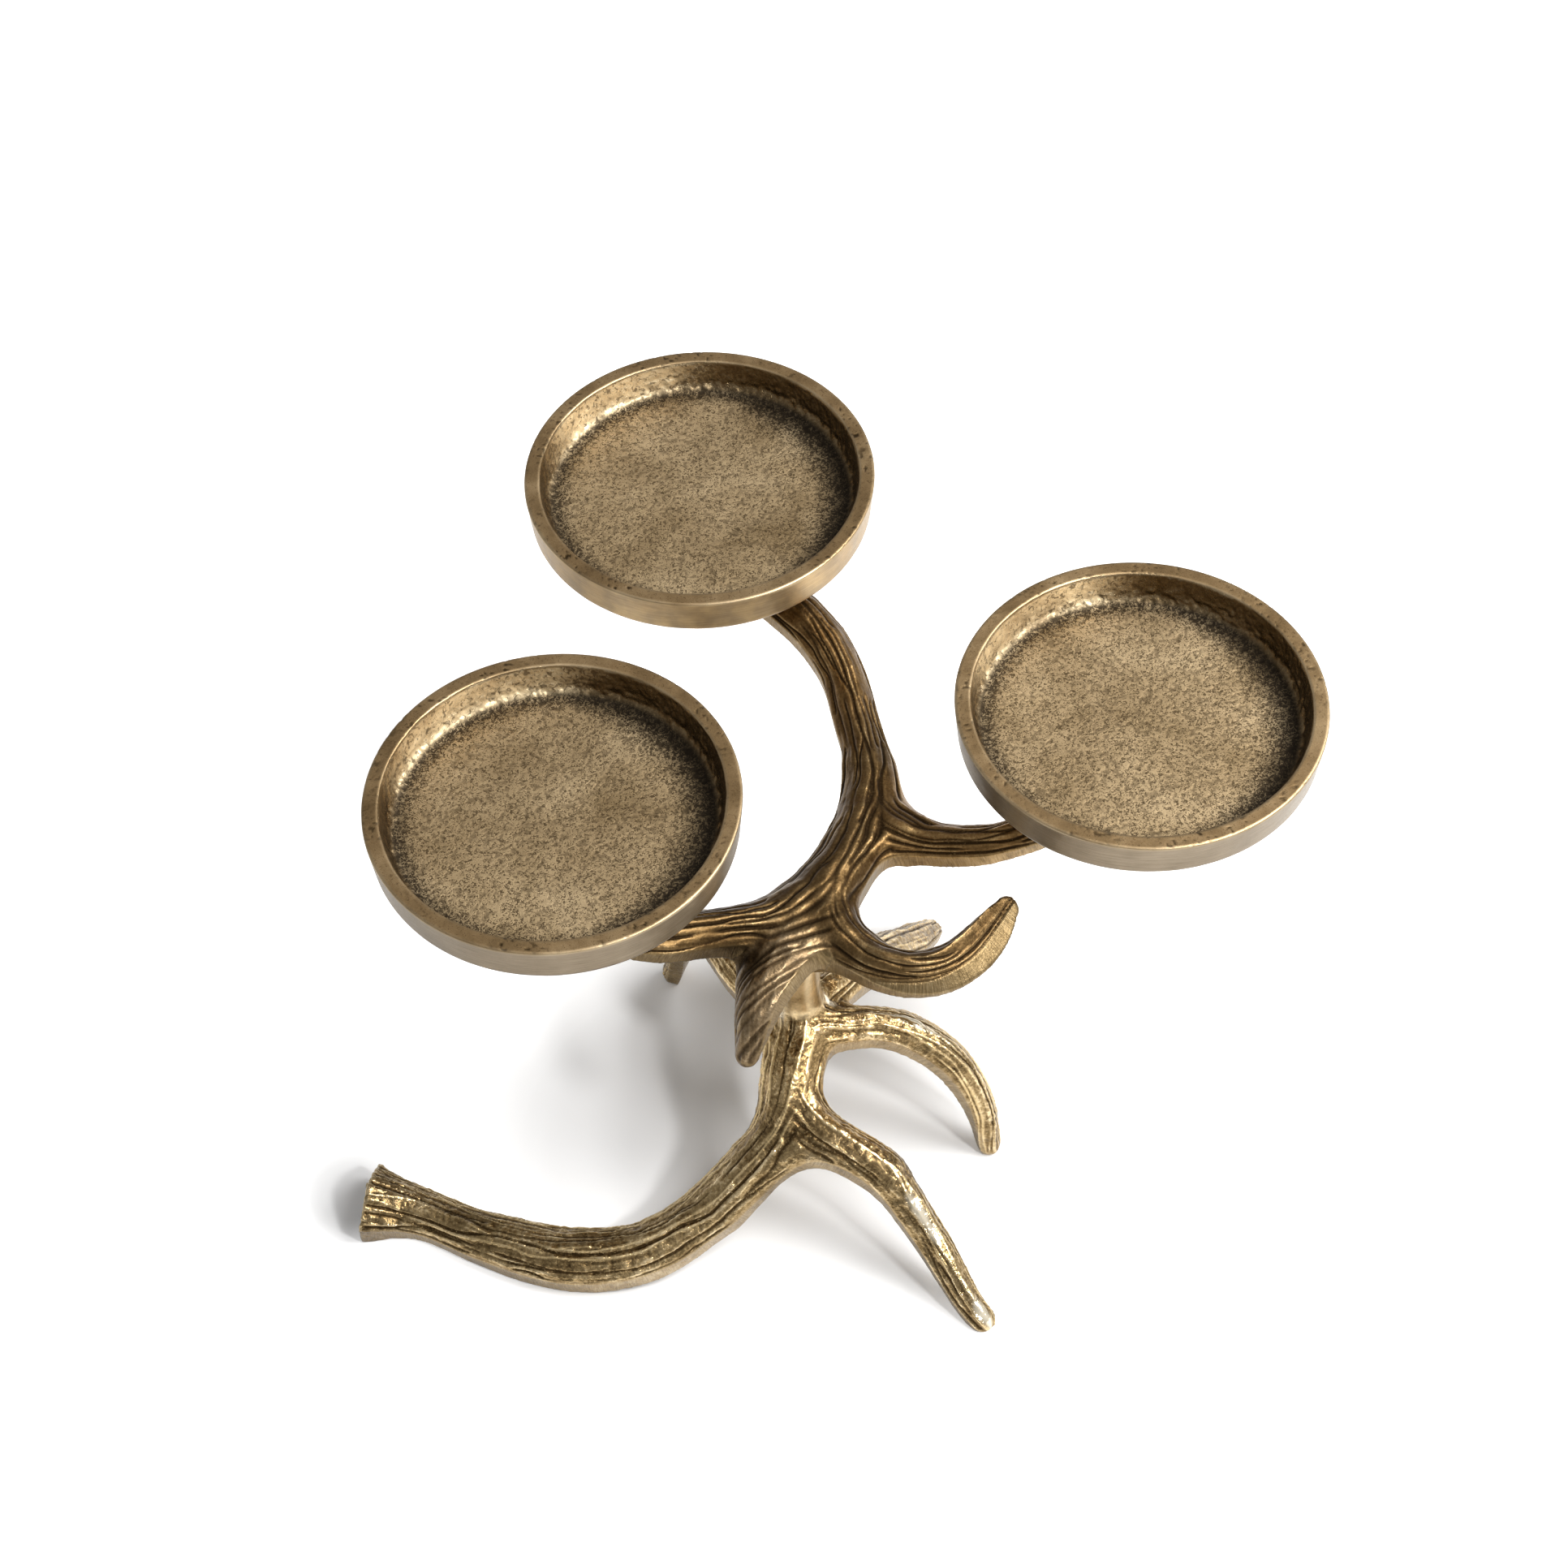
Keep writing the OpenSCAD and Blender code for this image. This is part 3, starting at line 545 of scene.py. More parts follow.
def wear_and_sheen_at(co, seen, wear_sheen_spots, seed):
    """1 where the skin is smoothed by wear and given a painted highlight: long patches down a flow, each by a
    bend of it.
    """
    worn = np.zeros(len(co))
    for flow, bend, shift, reach, half in wear_sheen_spots:
        s = seen[flow]
        i = np.linalg.norm(co - (np.array(bend[:3]) + shift), axis=1).argmin()
        near = np.hypot((s["along"] - s["along"][i]) / reach, (s["turn"] - s["turn"][i]) * s["arc"] / half)
        near += 0.25 * noise(co, 3, seed)
        worn = np.maximum(worn, step_up(-near, -1.1, -0.35))
    return worn


def painted_light_shade_at(co, light_shade_spots, seed):
    """How much painted shade the skin gets round some places, or below 0 how much painted light."""
    stain = np.zeros(len(co))
    for spot, near, far, share in light_shade_spots:
        away = np.linalg.norm(co - spot, axis=1) + 3 * noise(co, 8, seed)
        stain += share * step_up(-away, -far, -near)
    return stain


# a mesh's cells, the gap between the flows' own coordinates, and where the leaf turns pale
CELL = 0.46
FLOWS_APART = 50.0
LEAF_FROM, LEAF_FULL = 26, 42


def made_antler(name, field, lo, hi, flows, plain_at, seed, sand=0.09, wear_sheen_spots=(), light_shade_spots=()):
    """The casting's skin, with its grooves, lumps and grain pushed in and out along the skin."""
    o = mesh_object(name, *meshed(field, lo, hi, CELL))
    mesh = o.data
    net = Net(mesh)
    co = net.blur(at_vertices(mesh, "co"), 1)
    if field.floor:
        co[:, 2] = np.maximum(co[:, 2], 0)
    put(mesh, co)
    no = normal_to(net.blur(at_vertices(mesh, "normal"), 3))
    seen = read_flows([way for way, _ in flows], co)
    far = np.stack([s["far"] for s in seen])
    weight = np.exp(-10 * (far - far.min(0)))
    weight /= weight.sum(0)
    lead = weight.argmax(0)
    carve, streak, pale = np.zeros(len(co)), np.zeros(len(co)), np.zeros(len(co))
    for i, (s, (way, carving)) in enumerate(zip(seen, flows)):
        uncut = step_up(s["along"], 0.2, 1.2) if way.cut_start else 1.0
        carve += weight[i] * uncut * grooves(s, seed + 11 * i, **carving)
        streak += weight[i] * streaks(s, seed + 13 * i)
        if "shear" in carving:
            pale += weight[i] * step_up(s["along"], LEAF_FROM, LEAF_FULL)
    turn, along, arc = (np.choose(lead, [s[k] for s in seen]) for k in ("turn", "along", "arc"))
    level = np.stack([np.abs(s["turn"]) for s in seen])
    dome = step_up(-(weight * level).sum(0), -0.97, -0.8) * step_up(no[:, 2], -0.1, 0.2)
    plain = plain_at(co)
    big = noise(co, 9.0, seed) * 0.28 + noise(co, 4.0, seed + 1) * 0.14
    fine = noise(co, 1.9, seed + 2) * 0.6 + noise(co, 1.0, seed + 3) * 0.4
    worn = wear_and_sheen_at(co, seen, wear_sheen_spots, seed + 5)
    carve, streak = carve * (1 - 0.75 * worn), streak * (1 - 0.75 * worn)
    fine = fine * (1 - 0.7 * worn)
    depth = (0.85 * carve + 0.13 * streak) * dome + sand * fine * (0.3 + 0.7 * dome)
    lift = (big * (0.35 + 0.65 * dome) + depth) * (1 - plain)
    made = co + no * lift[:, None]
    if field.floor:
        made[:, 2] = np.where(co[:, 2] < 0.05, co[:, 2], np.maximum(made[:, 2], 0))
    put(mesh, made)
    # hollow and tight: how far the skin lies below its smoothed self; they darken the colour in hollows and
    # creases, as patina and as painted shade
    hollow, tight = (((net.blur(made, times) - made) * no).sum(1) for times in (70, 6))
    keep(mesh, carve=-carve * dome * (1 - plain), dome=dome * (1 - plain), plain=plain, worn=worn, pale=pale,
         streak=streak, stain=painted_light_shade_at(co, light_shade_spots, seed + 6), hollow=hollow, tight=tight)
    flow = mesh.attributes.new("flow", "FLOAT_VECTOR", "POINT")
    places = np.stack([along, turn * arc, lead * FLOWS_APART], 1)
    flow.data.foreach_set("vector", places.astype(np.float32).ravel())
    put(mesh, (made - MIDDLE) * MM)
    mesh.shade_smooth()
    return o


def upright(r, z0, z1, at=(0, 0)):
    """Distance to a round upright from z0 to z1."""
    def d(co):
        flat = np.hypot(co[:, 0] - at[0], co[:, 1] - at[1]) - r
        return np.maximum(flat, np.abs(co[:, 2] - (z0 + z1) / 2) - (z1 - z0) / 2)
    return d


def without(r, z0, z1, at=(0, 0)):
    inside = upright(r, z0, z1, at)
    return lambda co: -inside(co)


def low_plain(co):
    """1 where nothing is carved: on the column and round the bolt's seat below it."""
    r = np.hypot(co[:, 0], co[:, 1])
    side = step_up(co[:, 2], LOW_HUB_H + 8.5, LOW_HUB_H + 11) * step_up(-r, -13, -11)
    under = step_up(-r, -8.5, -7.5) * step_up(-co[:, 2], -LOW_HUB_H + 2, -LOW_HUB_H + 4)
    return np.maximum(side, under)


def up_plain(co):
    """1 where nothing is carved: round the column's end and on the pads."""
    r, z = np.hypot(co[:, 0], co[:, 1]), co[:, 2]
    out = step_up(-r, -9.5, -8.5) * step_up(-z, -COLUMN_TOP - 1, -COLUMN_TOP)
    for p in PANS.values():
        r = np.hypot(co[:, 0] - p[0], co[:, 1] - p[1])
        out = np.maximum(out, step_up(-r, -PAD_D / 2 - 1.5, -PAD_D / 2 - 0.3))
    return out


# radii of the bores and the seat
BOLT_BORE, BOLT_SEAT_R, BOLT_TAP, SCREW_BORE = 3.25, 7.0, 3.05, 2.75

low_ways = [Way(BEAM_WAY[::-1] + LEFT_WAY, cut_start=True), Way(NEAR_WAY), Way(SIDE_WAY), Way(BACK_WAY),
            Way(BELLY_WAY)]
low_field = Casting(
    low_ways,
    added=[upright(COLUMN_D / 2 - 0.4, LOW_HUB_H - 3, COLUMN_TOP + 6)],
    cut=[without(BOLT_BORE, LOW_HUB_H - 14, STAND_H), without(BOLT_SEAT_R, BOLT_SEAT - 14, BOLT_SEAT),
         lambda co: co[:, 2] - COLUMN_TOP],
    floor=True)
LOW_LINES = {"raised": 0.6, "gap": 1.9, "width": 0.4}
# wear patches, smoothed and given a painted highlight: the number of the flow, a bend, how far off it, half
# the length and half the width
NEAR_FLOW, SIDE_FLOW = 1, 2
WEAR_SHEEN_SPOTS = [(NEAR_FLOW, NEAR_WAY[5], [2, -4, 6], 10.0, 2.2), (NEAR_FLOW, NEAR_WAY[8], [0, 0, 4], 6.0, 2.4),
          (SIDE_FLOW, SIDE_WAY[6], [0, 0, 5], 9.0, 1.6), (SIDE_FLOW, SIDE_WAY[3], [0, 0, 6], 7.0, 1.5)]
# places of painted shade, with painted light where the share is below 0: the middle, where it is full, where
# it ends, and how much
LOW_LIGHT_SHADE = [(BEAM_END, 6, 26, 0.75), (BEAM_WAY[8][:3], 8, 34, 0.22), (NEAR_FOOT, 20, 60, 0.22),
              (BACK_FOOT, 20, 50, -0.2), (LOW, 14, 44, -0.25)]
low_antler = made_antler(
    "lower_antler_cast", low_field, (-146, -90, -1.5), (68, 74, 91),
    [(way, LOW_LINES) for way in low_ways[:4]], low_plain,
    seed=5, sand=0.3, wear_sheen_spots=WEAR_SHEEN_SPOTS, light_shade_spots=LOW_LIGHT_SHADE)

TINE_FACET = (math.radians(38), ([0, 0.42, 0.62, 0.8, 1], [9, 7.5, 4.4, 2.6, 1.2]))
up_ways = [Way(LEFT_ARM[::-1] + BACK_ARM),
           Way(STEM + SIDE_BLADE, lean=[0] * 5 + [0, 10, 18, 20], facet=TINE_FACET),
           Way(FORK_WAY[:4] + RIGHT_ARM[2:]),
           Way(FRONT_TINE, lean=[0, 0, -8, -18, -22, -22, -16, -8]),
           Way(RIGHT_ARM[1::-1] + ELBOW_WAY), Way(HUB_FRONT), Way(HUB_LEFT), Way(FORK_CURL)]
up_field = Casting(
    up_ways,
    added=[upright(PAD_D / 2 - 0.6, PAD_UNDER, SEAT_Z + 4, p) for p in PANS.values()]
    + [upright(COLUMN_D / 2 + 0.6, COLUMN_TOP - 2, COLUMN_TOP + 8)],
    cut=[without(PAD_D, SEAT_Z, SEAT_Z + 40, p) for p in PANS.values()]
    + [without(PAD_D / 2 + 1, PAD_UNDER - 30, PAD_UNDER, p) for p in PANS.values()]
    + [without(SCREW_BORE, PAD_UNDER - 20, SEAT_Z + 20, p) for p in PANS.values()]
    + [without(COLUMN_D / 2 + 1, COLUMN_TOP - 20, COLUMN_TOP),
       without(BOLT_TAP, COLUMN_TOP - 5, COLUMN_TOP + 8)],
    floor=False)
LEAF_LINES = {"shear": -0.72, "gap": 3.1, "width": 0.62, "wave": 0.13, "deep": 0.85, "filled": 0.3}
# painted shade on the left arm under the left pan and at the hub, and painted light on the back and right
# arms
UP_LIGHT_SHADE = [(in_arms([-1.6, 0.2, 0]), 8, 26, 0.85), (in_arms([0.3, 0.8, 0]), 6, 20, 0.25),
             (lifted(PANS["back"] * 0.62, UP_HUB_H + 10), 30, 55, -0.45),
             (in_arms([3.4, 2.4, 0.3]), 16, 36, -0.75)]
up_antler = made_antler(
    "upper_antler_cast", up_field, (-84, -36, 72), (118, 162, 121),
    [(way, {}) for way in up_ways[:3]] + [(up_ways[3], LEAF_LINES)], up_plain, seed=91, light_shade_spots=UP_LIGHT_SHADE)

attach(low_antler, "root")
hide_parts("lower_antler")
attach(up_antler, "root")
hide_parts("upper_antler")


# the pans: turned skins with cast floors
PAN_R = PAN_D / 2
PAN_TURNS, PAN_STEP = ((640, 0.5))
HOLE_R, HOLE_TOP = 2.6, 1.5
WALL_DRAFT = 1.2
# the turn at which the inner walls carry a painted highlight, from the x axis; round the rest they get
# painted shade
LIT_AT = math.radians(126)
PAN_SEED, NEXT_PAN = 300, 20


def sampled(corners, step):
    """Points along straight runs between corners."""
    out = [corners[0]]
    for a, b in zip(corners[:-1], corners[1:]):
        n = max(int(round(math.dist(a, b) / step)), 1)
        out += [(a[0] + (b[0] - a[0]) * k / n, a[1] + (b[1] - a[1]) * k / n) for k in range(1, n + 1)]
    return out


def arc(at, r, start, end, step):
    """Points on an arc from one turn to another, in degrees."""
    n = max(int(round(abs(math.radians(end - start)) * r / step)), 2)
    turns = [math.radians(start + (end - start) * k / n) for k in range(n + 1)]
    return [(at[0] + r * math.cos(a), at[1] + r * math.sin(a)) for a in turns]


def pan_profile(step):
    """The pan's outline from the middle of its floor over the rim and back under it."""
    inner, low, boss = PAN_R - PAN_RIM, PAN_R - PAN_TAPER, BOSS_D / 2
    cove = arc((inner - PAN_COVE - WALL_DRAFT, PAN_FLOOR + PAN_COVE), PAN_COVE, -90, -8, step)
    edge = arc((low - PAN_EDGE, PAN_EDGE), PAN_EDGE, 0, -90, step)
    rim = sampled([(inner, PAN_H - 0.7), (inner + 0.15, PAN_H - 0.3), (inner + 0.6, PAN_H - 0.05)], step / 2)
    lip = sampled([(PAN_R - 0.6, PAN_H), (PAN_R - 0.15, PAN_H - 0.25), (PAN_R - 0.02, PAN_H - 0.7)], step / 2)
    out = [(step * 0.9, PAN_FLOOR)]
    for part in (cove, rim, lip, edge):
        out += sampled([out[-1], part[0]], step)[1:] + part[1:]
    out += sampled([out[-1], (boss + 1, 0)], step * 2)[1:] + [(boss + 0.3, -0.3), (boss, -1)]
    out += sampled([out[-1], (boss, -BOSS_H + 0.5)], step * 1.5)[1:] + [(boss - 0.5, -BOSS_H)]
    out += sampled([out[-1], (HOLE_R + 0.4, -BOSS_H)], step * 1.5)[1:]
    out += sampled([(HOLE_R, -BOSS_H + 0.4), (HOLE_R, HOLE_TOP)], step * 2)
    out += sampled([(HOLE_R, HOLE_TOP), (step * 0.9, HOLE_TOP)], step * 2)[1:]
    return out


def lathe(profile, most):
    """Rings of points round z, with half as many points on each ring half the size."""
    sizes = [int(most / 2 ** max(0, math.ceil(math.log2(26 / max(r, 0.4))))) for r, z in profile]
    rows = [(r, z, n) for (r, z), n in zip(profile, sizes)]
    rows = [(0.0, profile[0][1], 1)] + rows + [(0.0, profile[-1][1], 1)]
    co, quads, tris, start = [], [], [], 0
    for i, (r, z, n) in enumerate(rows):
        t = np.arange(n) / n * 2 * math.pi
        co.append(np.stack([r * np.cos(t), r * np.sin(t), np.full(n, z)], 1))
        if i + 1 < len(rows):
            m = rows[i + 1][2]
            a, b = start + np.arange(n), start + n + np.arange(m)
            next_a, next_b = np.roll(a, -1), np.roll(b, -1)
            if n == m:
                quads.append((a, b, next_b, next_a))
            elif n == 1:
                tris.append((np.repeat(a, m), b, next_b))
            elif m == 1:
                tris.append((a, np.repeat(b, n), next_a))
            elif n > m:
                even, odd = a[::2], a[1::2]
                tris += [(even, b, odd), (odd, next_b, next_a[1::2]), (odd, b, next_b)]
            else:
                even, odd = b[::2], b[1::2]
                tris += [(a, even, odd), (a, odd, next_a), (next_a, odd, next_b[1::2])]
        start += n
    quads, tris = (np.concatenate([np.stack(corners, 1) for corners in f]) for f in (quads, tris))
    return np.concatenate(co), quads, tris


def made_pan(name, at, seed):
    """A pan with a sand-cast floor, an uneven inner wall, a pitted rim and a turned outside."""
    co, quads, tris = lathe(pan_profile(PAN_STEP), PAN_TURNS)
    o = mesh_object(name, co, quads, tris)
    mesh = o.data
    no = at_vertices(mesh, "normal")
    r, z = np.hypot(co[:, 0], co[:, 1]), co[:, 2]
    p = co + [seed * 200.0, 0, 0]
    inner = PAN_R - PAN_RIM
    inside = step_up(-r, -inner - 0.05, -inner + 0.05) * step_up(z, PAN_FLOOR - 0.5, PAN_FLOOR - 0.2)
    wall = inside * step_up(z, PAN_FLOOR + 0.3, PAN_FLOOR + 1.8)
    rim = step_up(z, PAN_H - 0.6, PAN_H - 0.2) * step_up(r, inner, inner + 0.3)
    skirt = step_up(r, PAN_R - 2.2, PAN_R - 1.4) * (1 - rim)
    under = np.clip(1 - inside - rim - skirt, 0, 1)
    bend = np.stack([noise(p, 2.2, seed + 5), noise(p + 50, 2.2, seed + 6), np.zeros(len(p))], 1) * 0.7
    grain = noise(p + bend, 0.95, seed) * 0.65 + noise(p + bend, 0.55, seed + 1) * 0.35
    pits = step_up(grain, 0.02, 0.42)
    # painted shade on the floor by the inner wall, widest on the +x side where the wall keeps the key lamp
    # off, over patina near the wall all round
    side = step_up(co[:, 0] / np.maximum(r, 1) + 0.35 * noise(p, 30, seed + 7), -0.2, 0.9)
    close = np.maximum(step_up(r, inner - 6 - 13 * side, inner - 1 - 2.5 * side),
                       0.8 * step_up(r, inner - 11, inner - 2.5))
    cove = inside * step_up(z, PAN_FLOOR - 0.1, PAN_FLOOR + 0.7) * step_up(-z, -PAN_H + 3, -PAN_FLOOR - 3)
    lumps = noise(p, 3.4, seed + 2) * 0.14
    lumps += (noise(p, 2.0, seed + 3) * 0.3 + noise(p, 1.1, seed + 15) * 0.2) * cove
    level = noise(p, 22, seed + 4) * 0.16 + noise(p, 7, seed + 8) * 0.07
    nicks = step_up(noise(p, 1.3, seed + 9), 0.7, 0.9) * step_up(np.abs(noise(p, 14, seed + 10)), 0.25, 0.5)
    # the rim's outer and inner edges, which get a painted highlight
    edge = np.exp(-((r - PAN_R + 0.3) / 0.5) ** 2 - ((z - PAN_H + 0.3) / 0.6) ** 2)
    inner_edge = np.exp(-((r - inner - 0.2) / 0.5) ** 2 - ((z - PAN_H + 0.3) / 0.6) ** 2)
    dots = step_up(noise(p, 1.0, seed + 11), 0.52, 0.72) * step_up(noise(p, 9, seed + 14), -0.5, 0.5)
    lift = inside * (level - (0.07 + 0.08 * close) * pits + 0.03) + np.maximum(wall, cove) * lumps
    lift -= rim * (0.16 * dots + 0.03) + 0.26 * nicks * edge + 0.03 * skirt * (1 + noise(p, 5, seed + 12))
    lift += under * (0.08 * grain + 0.1 * noise(p, 5, seed + 13) - 0.05)
    made = co + no * (lift * np.minimum(r / 2, 1))[:, None]
    made[:, 2] = np.minimum(made[:, 2], PAN_H)
    # painted shade on the inner wall: 0 at LIT_AT, where the wall carries a painted highlight, and 1 round
    # the rest
    turned_up = (co[:, 0] * math.cos(LIT_AT) + co[:, 1] * math.sin(LIT_AT)) / np.maximum(r, 1)
    shade = step_up(-turned_up + 0.15 * noise(p, 16, seed + 16), -1.0, -0.62)
    # the back pan's skirt gets painted light, made paler than the other two pans' skirts
    keep(mesh, shade=shade, tint=np.full(len(co), name == "pan_back_cast"), inside=inside, wall=wall, rim=rim,
         skirt=skirt, close=close * inside, pits=pits, nicks=np.clip(nicks * edge + rim * dots, 0, 1),
         edge=edge + inner_edge)
    put(mesh, (made + [at[0], at[1], PAN_UNDER] - MIDDLE) * MM)
    mesh.shade_smooth()
    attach(o, "root")
    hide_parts(name.replace("_cast", ""))
    return o


pans = [made_pan("pan_" + side + "_cast", at, PAN_SEED + NEXT_PAN * k)
        for k, (side, at) in enumerate(PANS.items())]


# materials
class Nodes:
    """Short ways to add a tree's nodes. A value is a number, a tuple or another node's output."""

    def __init__(self, tree):
        self.tree = tree
        self.coords = tree.nodes.new("ShaderNodeTexCoord").outputs
        self.place = self.coords["Object"]

    def give(self, socket, value):
        if isinstance(value, (int, float, tuple)):
            socket.default_value = value
        else:
            self.tree.links.new(value, socket)

    def math(self, op, *values, clamp=False):
        n = self.tree.nodes.new("ShaderNodeMath")
        n.operation, n.use_clamp = op, clamp
        for socket, value in zip(n.inputs, values):
            self.give(socket, value)
        return n.outputs[0]

    def times(self, a, b):
        return self.math("MULTIPLY", a, b)

    def less(self, value):
        """What is left of 1."""
        return self.math("SUBTRACT", 1.0, value, clamp=True)

    def sum(self, *pairs):
        """The sum of value times share over the pairs."""
        total = 0.0
        for value, share in pairs:
            total = self.math("MULTIPLY_ADD", value, share, total)
        return total

    def between(self, op, a, b):
        """One number from two places, such as the distance between them."""
        n = self.tree.nodes.new("ShaderNodeVectorMath")
        n.operation = op
        self.give(n.inputs[0], a)
        self.give(n.inputs[1], b)
        return n.outputs["Value"]

    def ray(self, kind):
        return self.tree.nodes.new("ShaderNodeLightPath").outputs[kind]

    def span(self, value, low, high, to_low=0.0, to_high=1.0):
        n = self.tree.nodes.new("ShaderNodeMapRange")
        n.interpolation_type = "SMOOTHSTEP"
        for socket, v in zip(n.inputs, (value, low, high, to_low, to_high)):
            self.give(socket, v)
        return n.outputs[0]

    def read(self, label, kind="Fac"):
        n = self.tree.nodes.new("ShaderNodeAttribute")
        n.attribute_name = label
        return n.outputs[kind]

    def read_all(self, labels):
        return [self.read(label) for label in labels.split()]

    def noise(self, size, detail=2.0, place=None, stretch=(1, 1, 1), warp=0.0, shift=0.0):
        """Noise from 0 to 1 whose grains are about size millimetres, or of the place's own unit."""
        unit = 1.0 if place is not None else 1000.0
        move = self.tree.nodes.new("ShaderNodeMapping")
        self.give(move.inputs["Vector"], place if place is not None else self.place)
        move.inputs["Scale"].default_value = tuple(unit * k for k in stretch)
        move.inputs["Location"].default_value = (shift, shift, shift)
        n = self.tree.nodes.new("ShaderNodeTexNoise")
        self.give(n.inputs["Vector"], move.outputs[0])
        n.inputs["Scale"].default_value = 1.0 / size
        n.inputs["Detail"].default_value = detail
        n.inputs["Distortion"].default_value = warp
        return n.outputs["Fac"]

    def ramp(self, value, *stops):
        n = self.tree.nodes.new("ShaderNodeValToRGB")
        self.give(n.inputs[0], value)
        e = n.color_ramp.elements
        while len(e) < len(stops):
            e.new(0.5)
        for k, (at, colour) in enumerate(stops):
            e[k].position, e[k].color = at, (*colour, 1)
        return n.outputs[0]

    def mix(self, share, a, b, kind="MIX"):
        n = self.tree.nodes.new("ShaderNodeMix")
        n.data_type, n.blend_type = "RGBA", kind
        self.give(n.inputs[0], share)
        for socket, v in ((n.inputs[6], a), (n.inputs[7], b)):
            self.give(socket, (*v, 1) if isinstance(v, tuple) and len(v) == 3 else v)
        return n.outputs[2]


class Look(Nodes):
    """A material with one shader."""

    def __init__(self, name):
        self.material = bpy.data.materials.new(name)
        self.material.use_nodes = True
        tree = self.material.node_tree
        tree.nodes.clear()
        super().__init__(tree)
        self.shader = tree.nodes.new("ShaderNodeBsdfPrincipled")
        tree.links.new(self.shader.outputs[0], tree.nodes.new("ShaderNodeOutputMaterial").inputs[0])

    def bump(self, height, distance, strength):
        n = self.tree.nodes.new("ShaderNodeBump")
        n.inputs["Strength"].default_value = strength
        n.inputs["Distance"].default_value = distance * MM
        self.give(n.inputs["Height"], height)
        self.give(self.shader.inputs["Normal"], n.outputs[0])

    def set(self, colour, rough, metal):
        self.give(self.shader.inputs["Base Color"], colour)
        self.give(self.shader.inputs["Roughness"], rough)
        self.give(self.shader.inputs["Metallic"], metal)


LEAF_TONES = (0.2, (0.085, 0.057, 0.03)), (0.55, (0.17, 0.12, 0.068)), (0.9, (0.3, 0.23, 0.145))
PAINTED_SHADE_TONE, PAINTED_LIGHT_TONE = (0.36, 0.34, 0.31), (1.75, 1.62, 1.42)
# pale brass for the wear patches, which is also a painted highlight
WEAR_SHEEN_BRASS = (0.93, 0.84, 0.66)


def antler_look(name, tones, ground, groove, ridge, polished, spread, marks, gloss, sandy):
    """Antique brass: dark in its grooves, with wear on its ridges, ground bright along its sides, patina and
    painted shade in its hollows, painted shade and light round some places, and painted highlights on wear
    patches.

    Spread, marks and sandy are the shares of the streaks, file marks and grain. Gloss is the least roughness.
    """
    k = Look(name)
    carve, dome, plain, streak, worn, pale, stain, hollow, tight = k.read_all(
        "carve dome plain streak worn pale stain hollow tight")
    wide, patch, grain = k.noise(16, 2, warp=0.4), k.noise(4.5, 3, warp=0.3), k.noise(0.8, 3)
    pebble = k.noise(0.55, 2, warp=0.8)
    files = k.noise(0.42, 2, place=k.read("flow", "Vector"), stretch=(1, 0.1, 1), warp=0.2)
    # the tone darkens in hollows and creases: patina and painted shade
    height = k.sum((wide, 0.55), (patch, 0.45), (grain, 0.5), (streak, 0.21 * spread), (tight, -1.3),
                   (hollow, -0.22), (1.0, -0.3))
    colour = k.mix(k.times(pale, 0.8), k.ramp(height, *tones), k.ramp(height, *LEAF_TONES))
    colour = k.mix(k.times(k.span(pebble, 0.6, 0.72), 0.55), colour, groove)
    side = k.times(k.less(dome), k.less(plain))
    lit = k.ramp(k.sum((files, 0.75), (patch, 0.5), (wide, 0.3), (1.0, -0.3)), *ground)
    colour = k.mix(side, colour, lit)
    depth = k.times(k.span(carve, 0.12, 0.62), k.span(wide, 0.2, 0.6, 0.75, 1.0))
    colour = k.mix(k.times(depth, k.span(pale, 0, 1, 1, 0.55)), colour, groove)
    colour = k.mix(k.times(k.span(pebble, 0.41, 0.31), 0.3 * sandy), colour, ridge)
    colour = k.mix(k.times(k.span(carve, -0.12, -0.42), 0.7), colour, ridge)
    # painted shade, and painted light where the value is below 0
    colour = k.mix(k.math("MAXIMUM", stain, 0.0), colour, PAINTED_SHADE_TONE, "MULTIPLY")
    colour = k.mix(k.math("MAXIMUM", k.times(stain, -1.0), 0.0), colour, PAINTED_LIGHT_TONE, "MULTIPLY")
    colour = k.mix(k.times(plain, k.span(patch, 0.35, 0.65, 0.42, 0.62)), colour, polished)
    # wear patches: pale brass that is also a painted highlight
    colour = k.mix(k.times(worn, 0.85), colour, WEAR_SHEEN_BRASS)
    rough = k.sum((depth, 0.22), (grain, 0.16), (patch, 0.12), (side, 0.02), (worn, -0.1), (plain, 0.12),
                  (k.span(height, 0.45, 0.85), -0.1), (1.0, gloss))
    k.set(colour, rough, 1.0)
    calm = k.less(k.math("MAXIMUM", worn, plain))
    k.bump(k.sum((k.times(grain, calm), sandy), (k.times(pebble, calm), 0.6 * sandy),
                 (k.times(files, side), marks)), 0.22, 0.6)
    return k.material


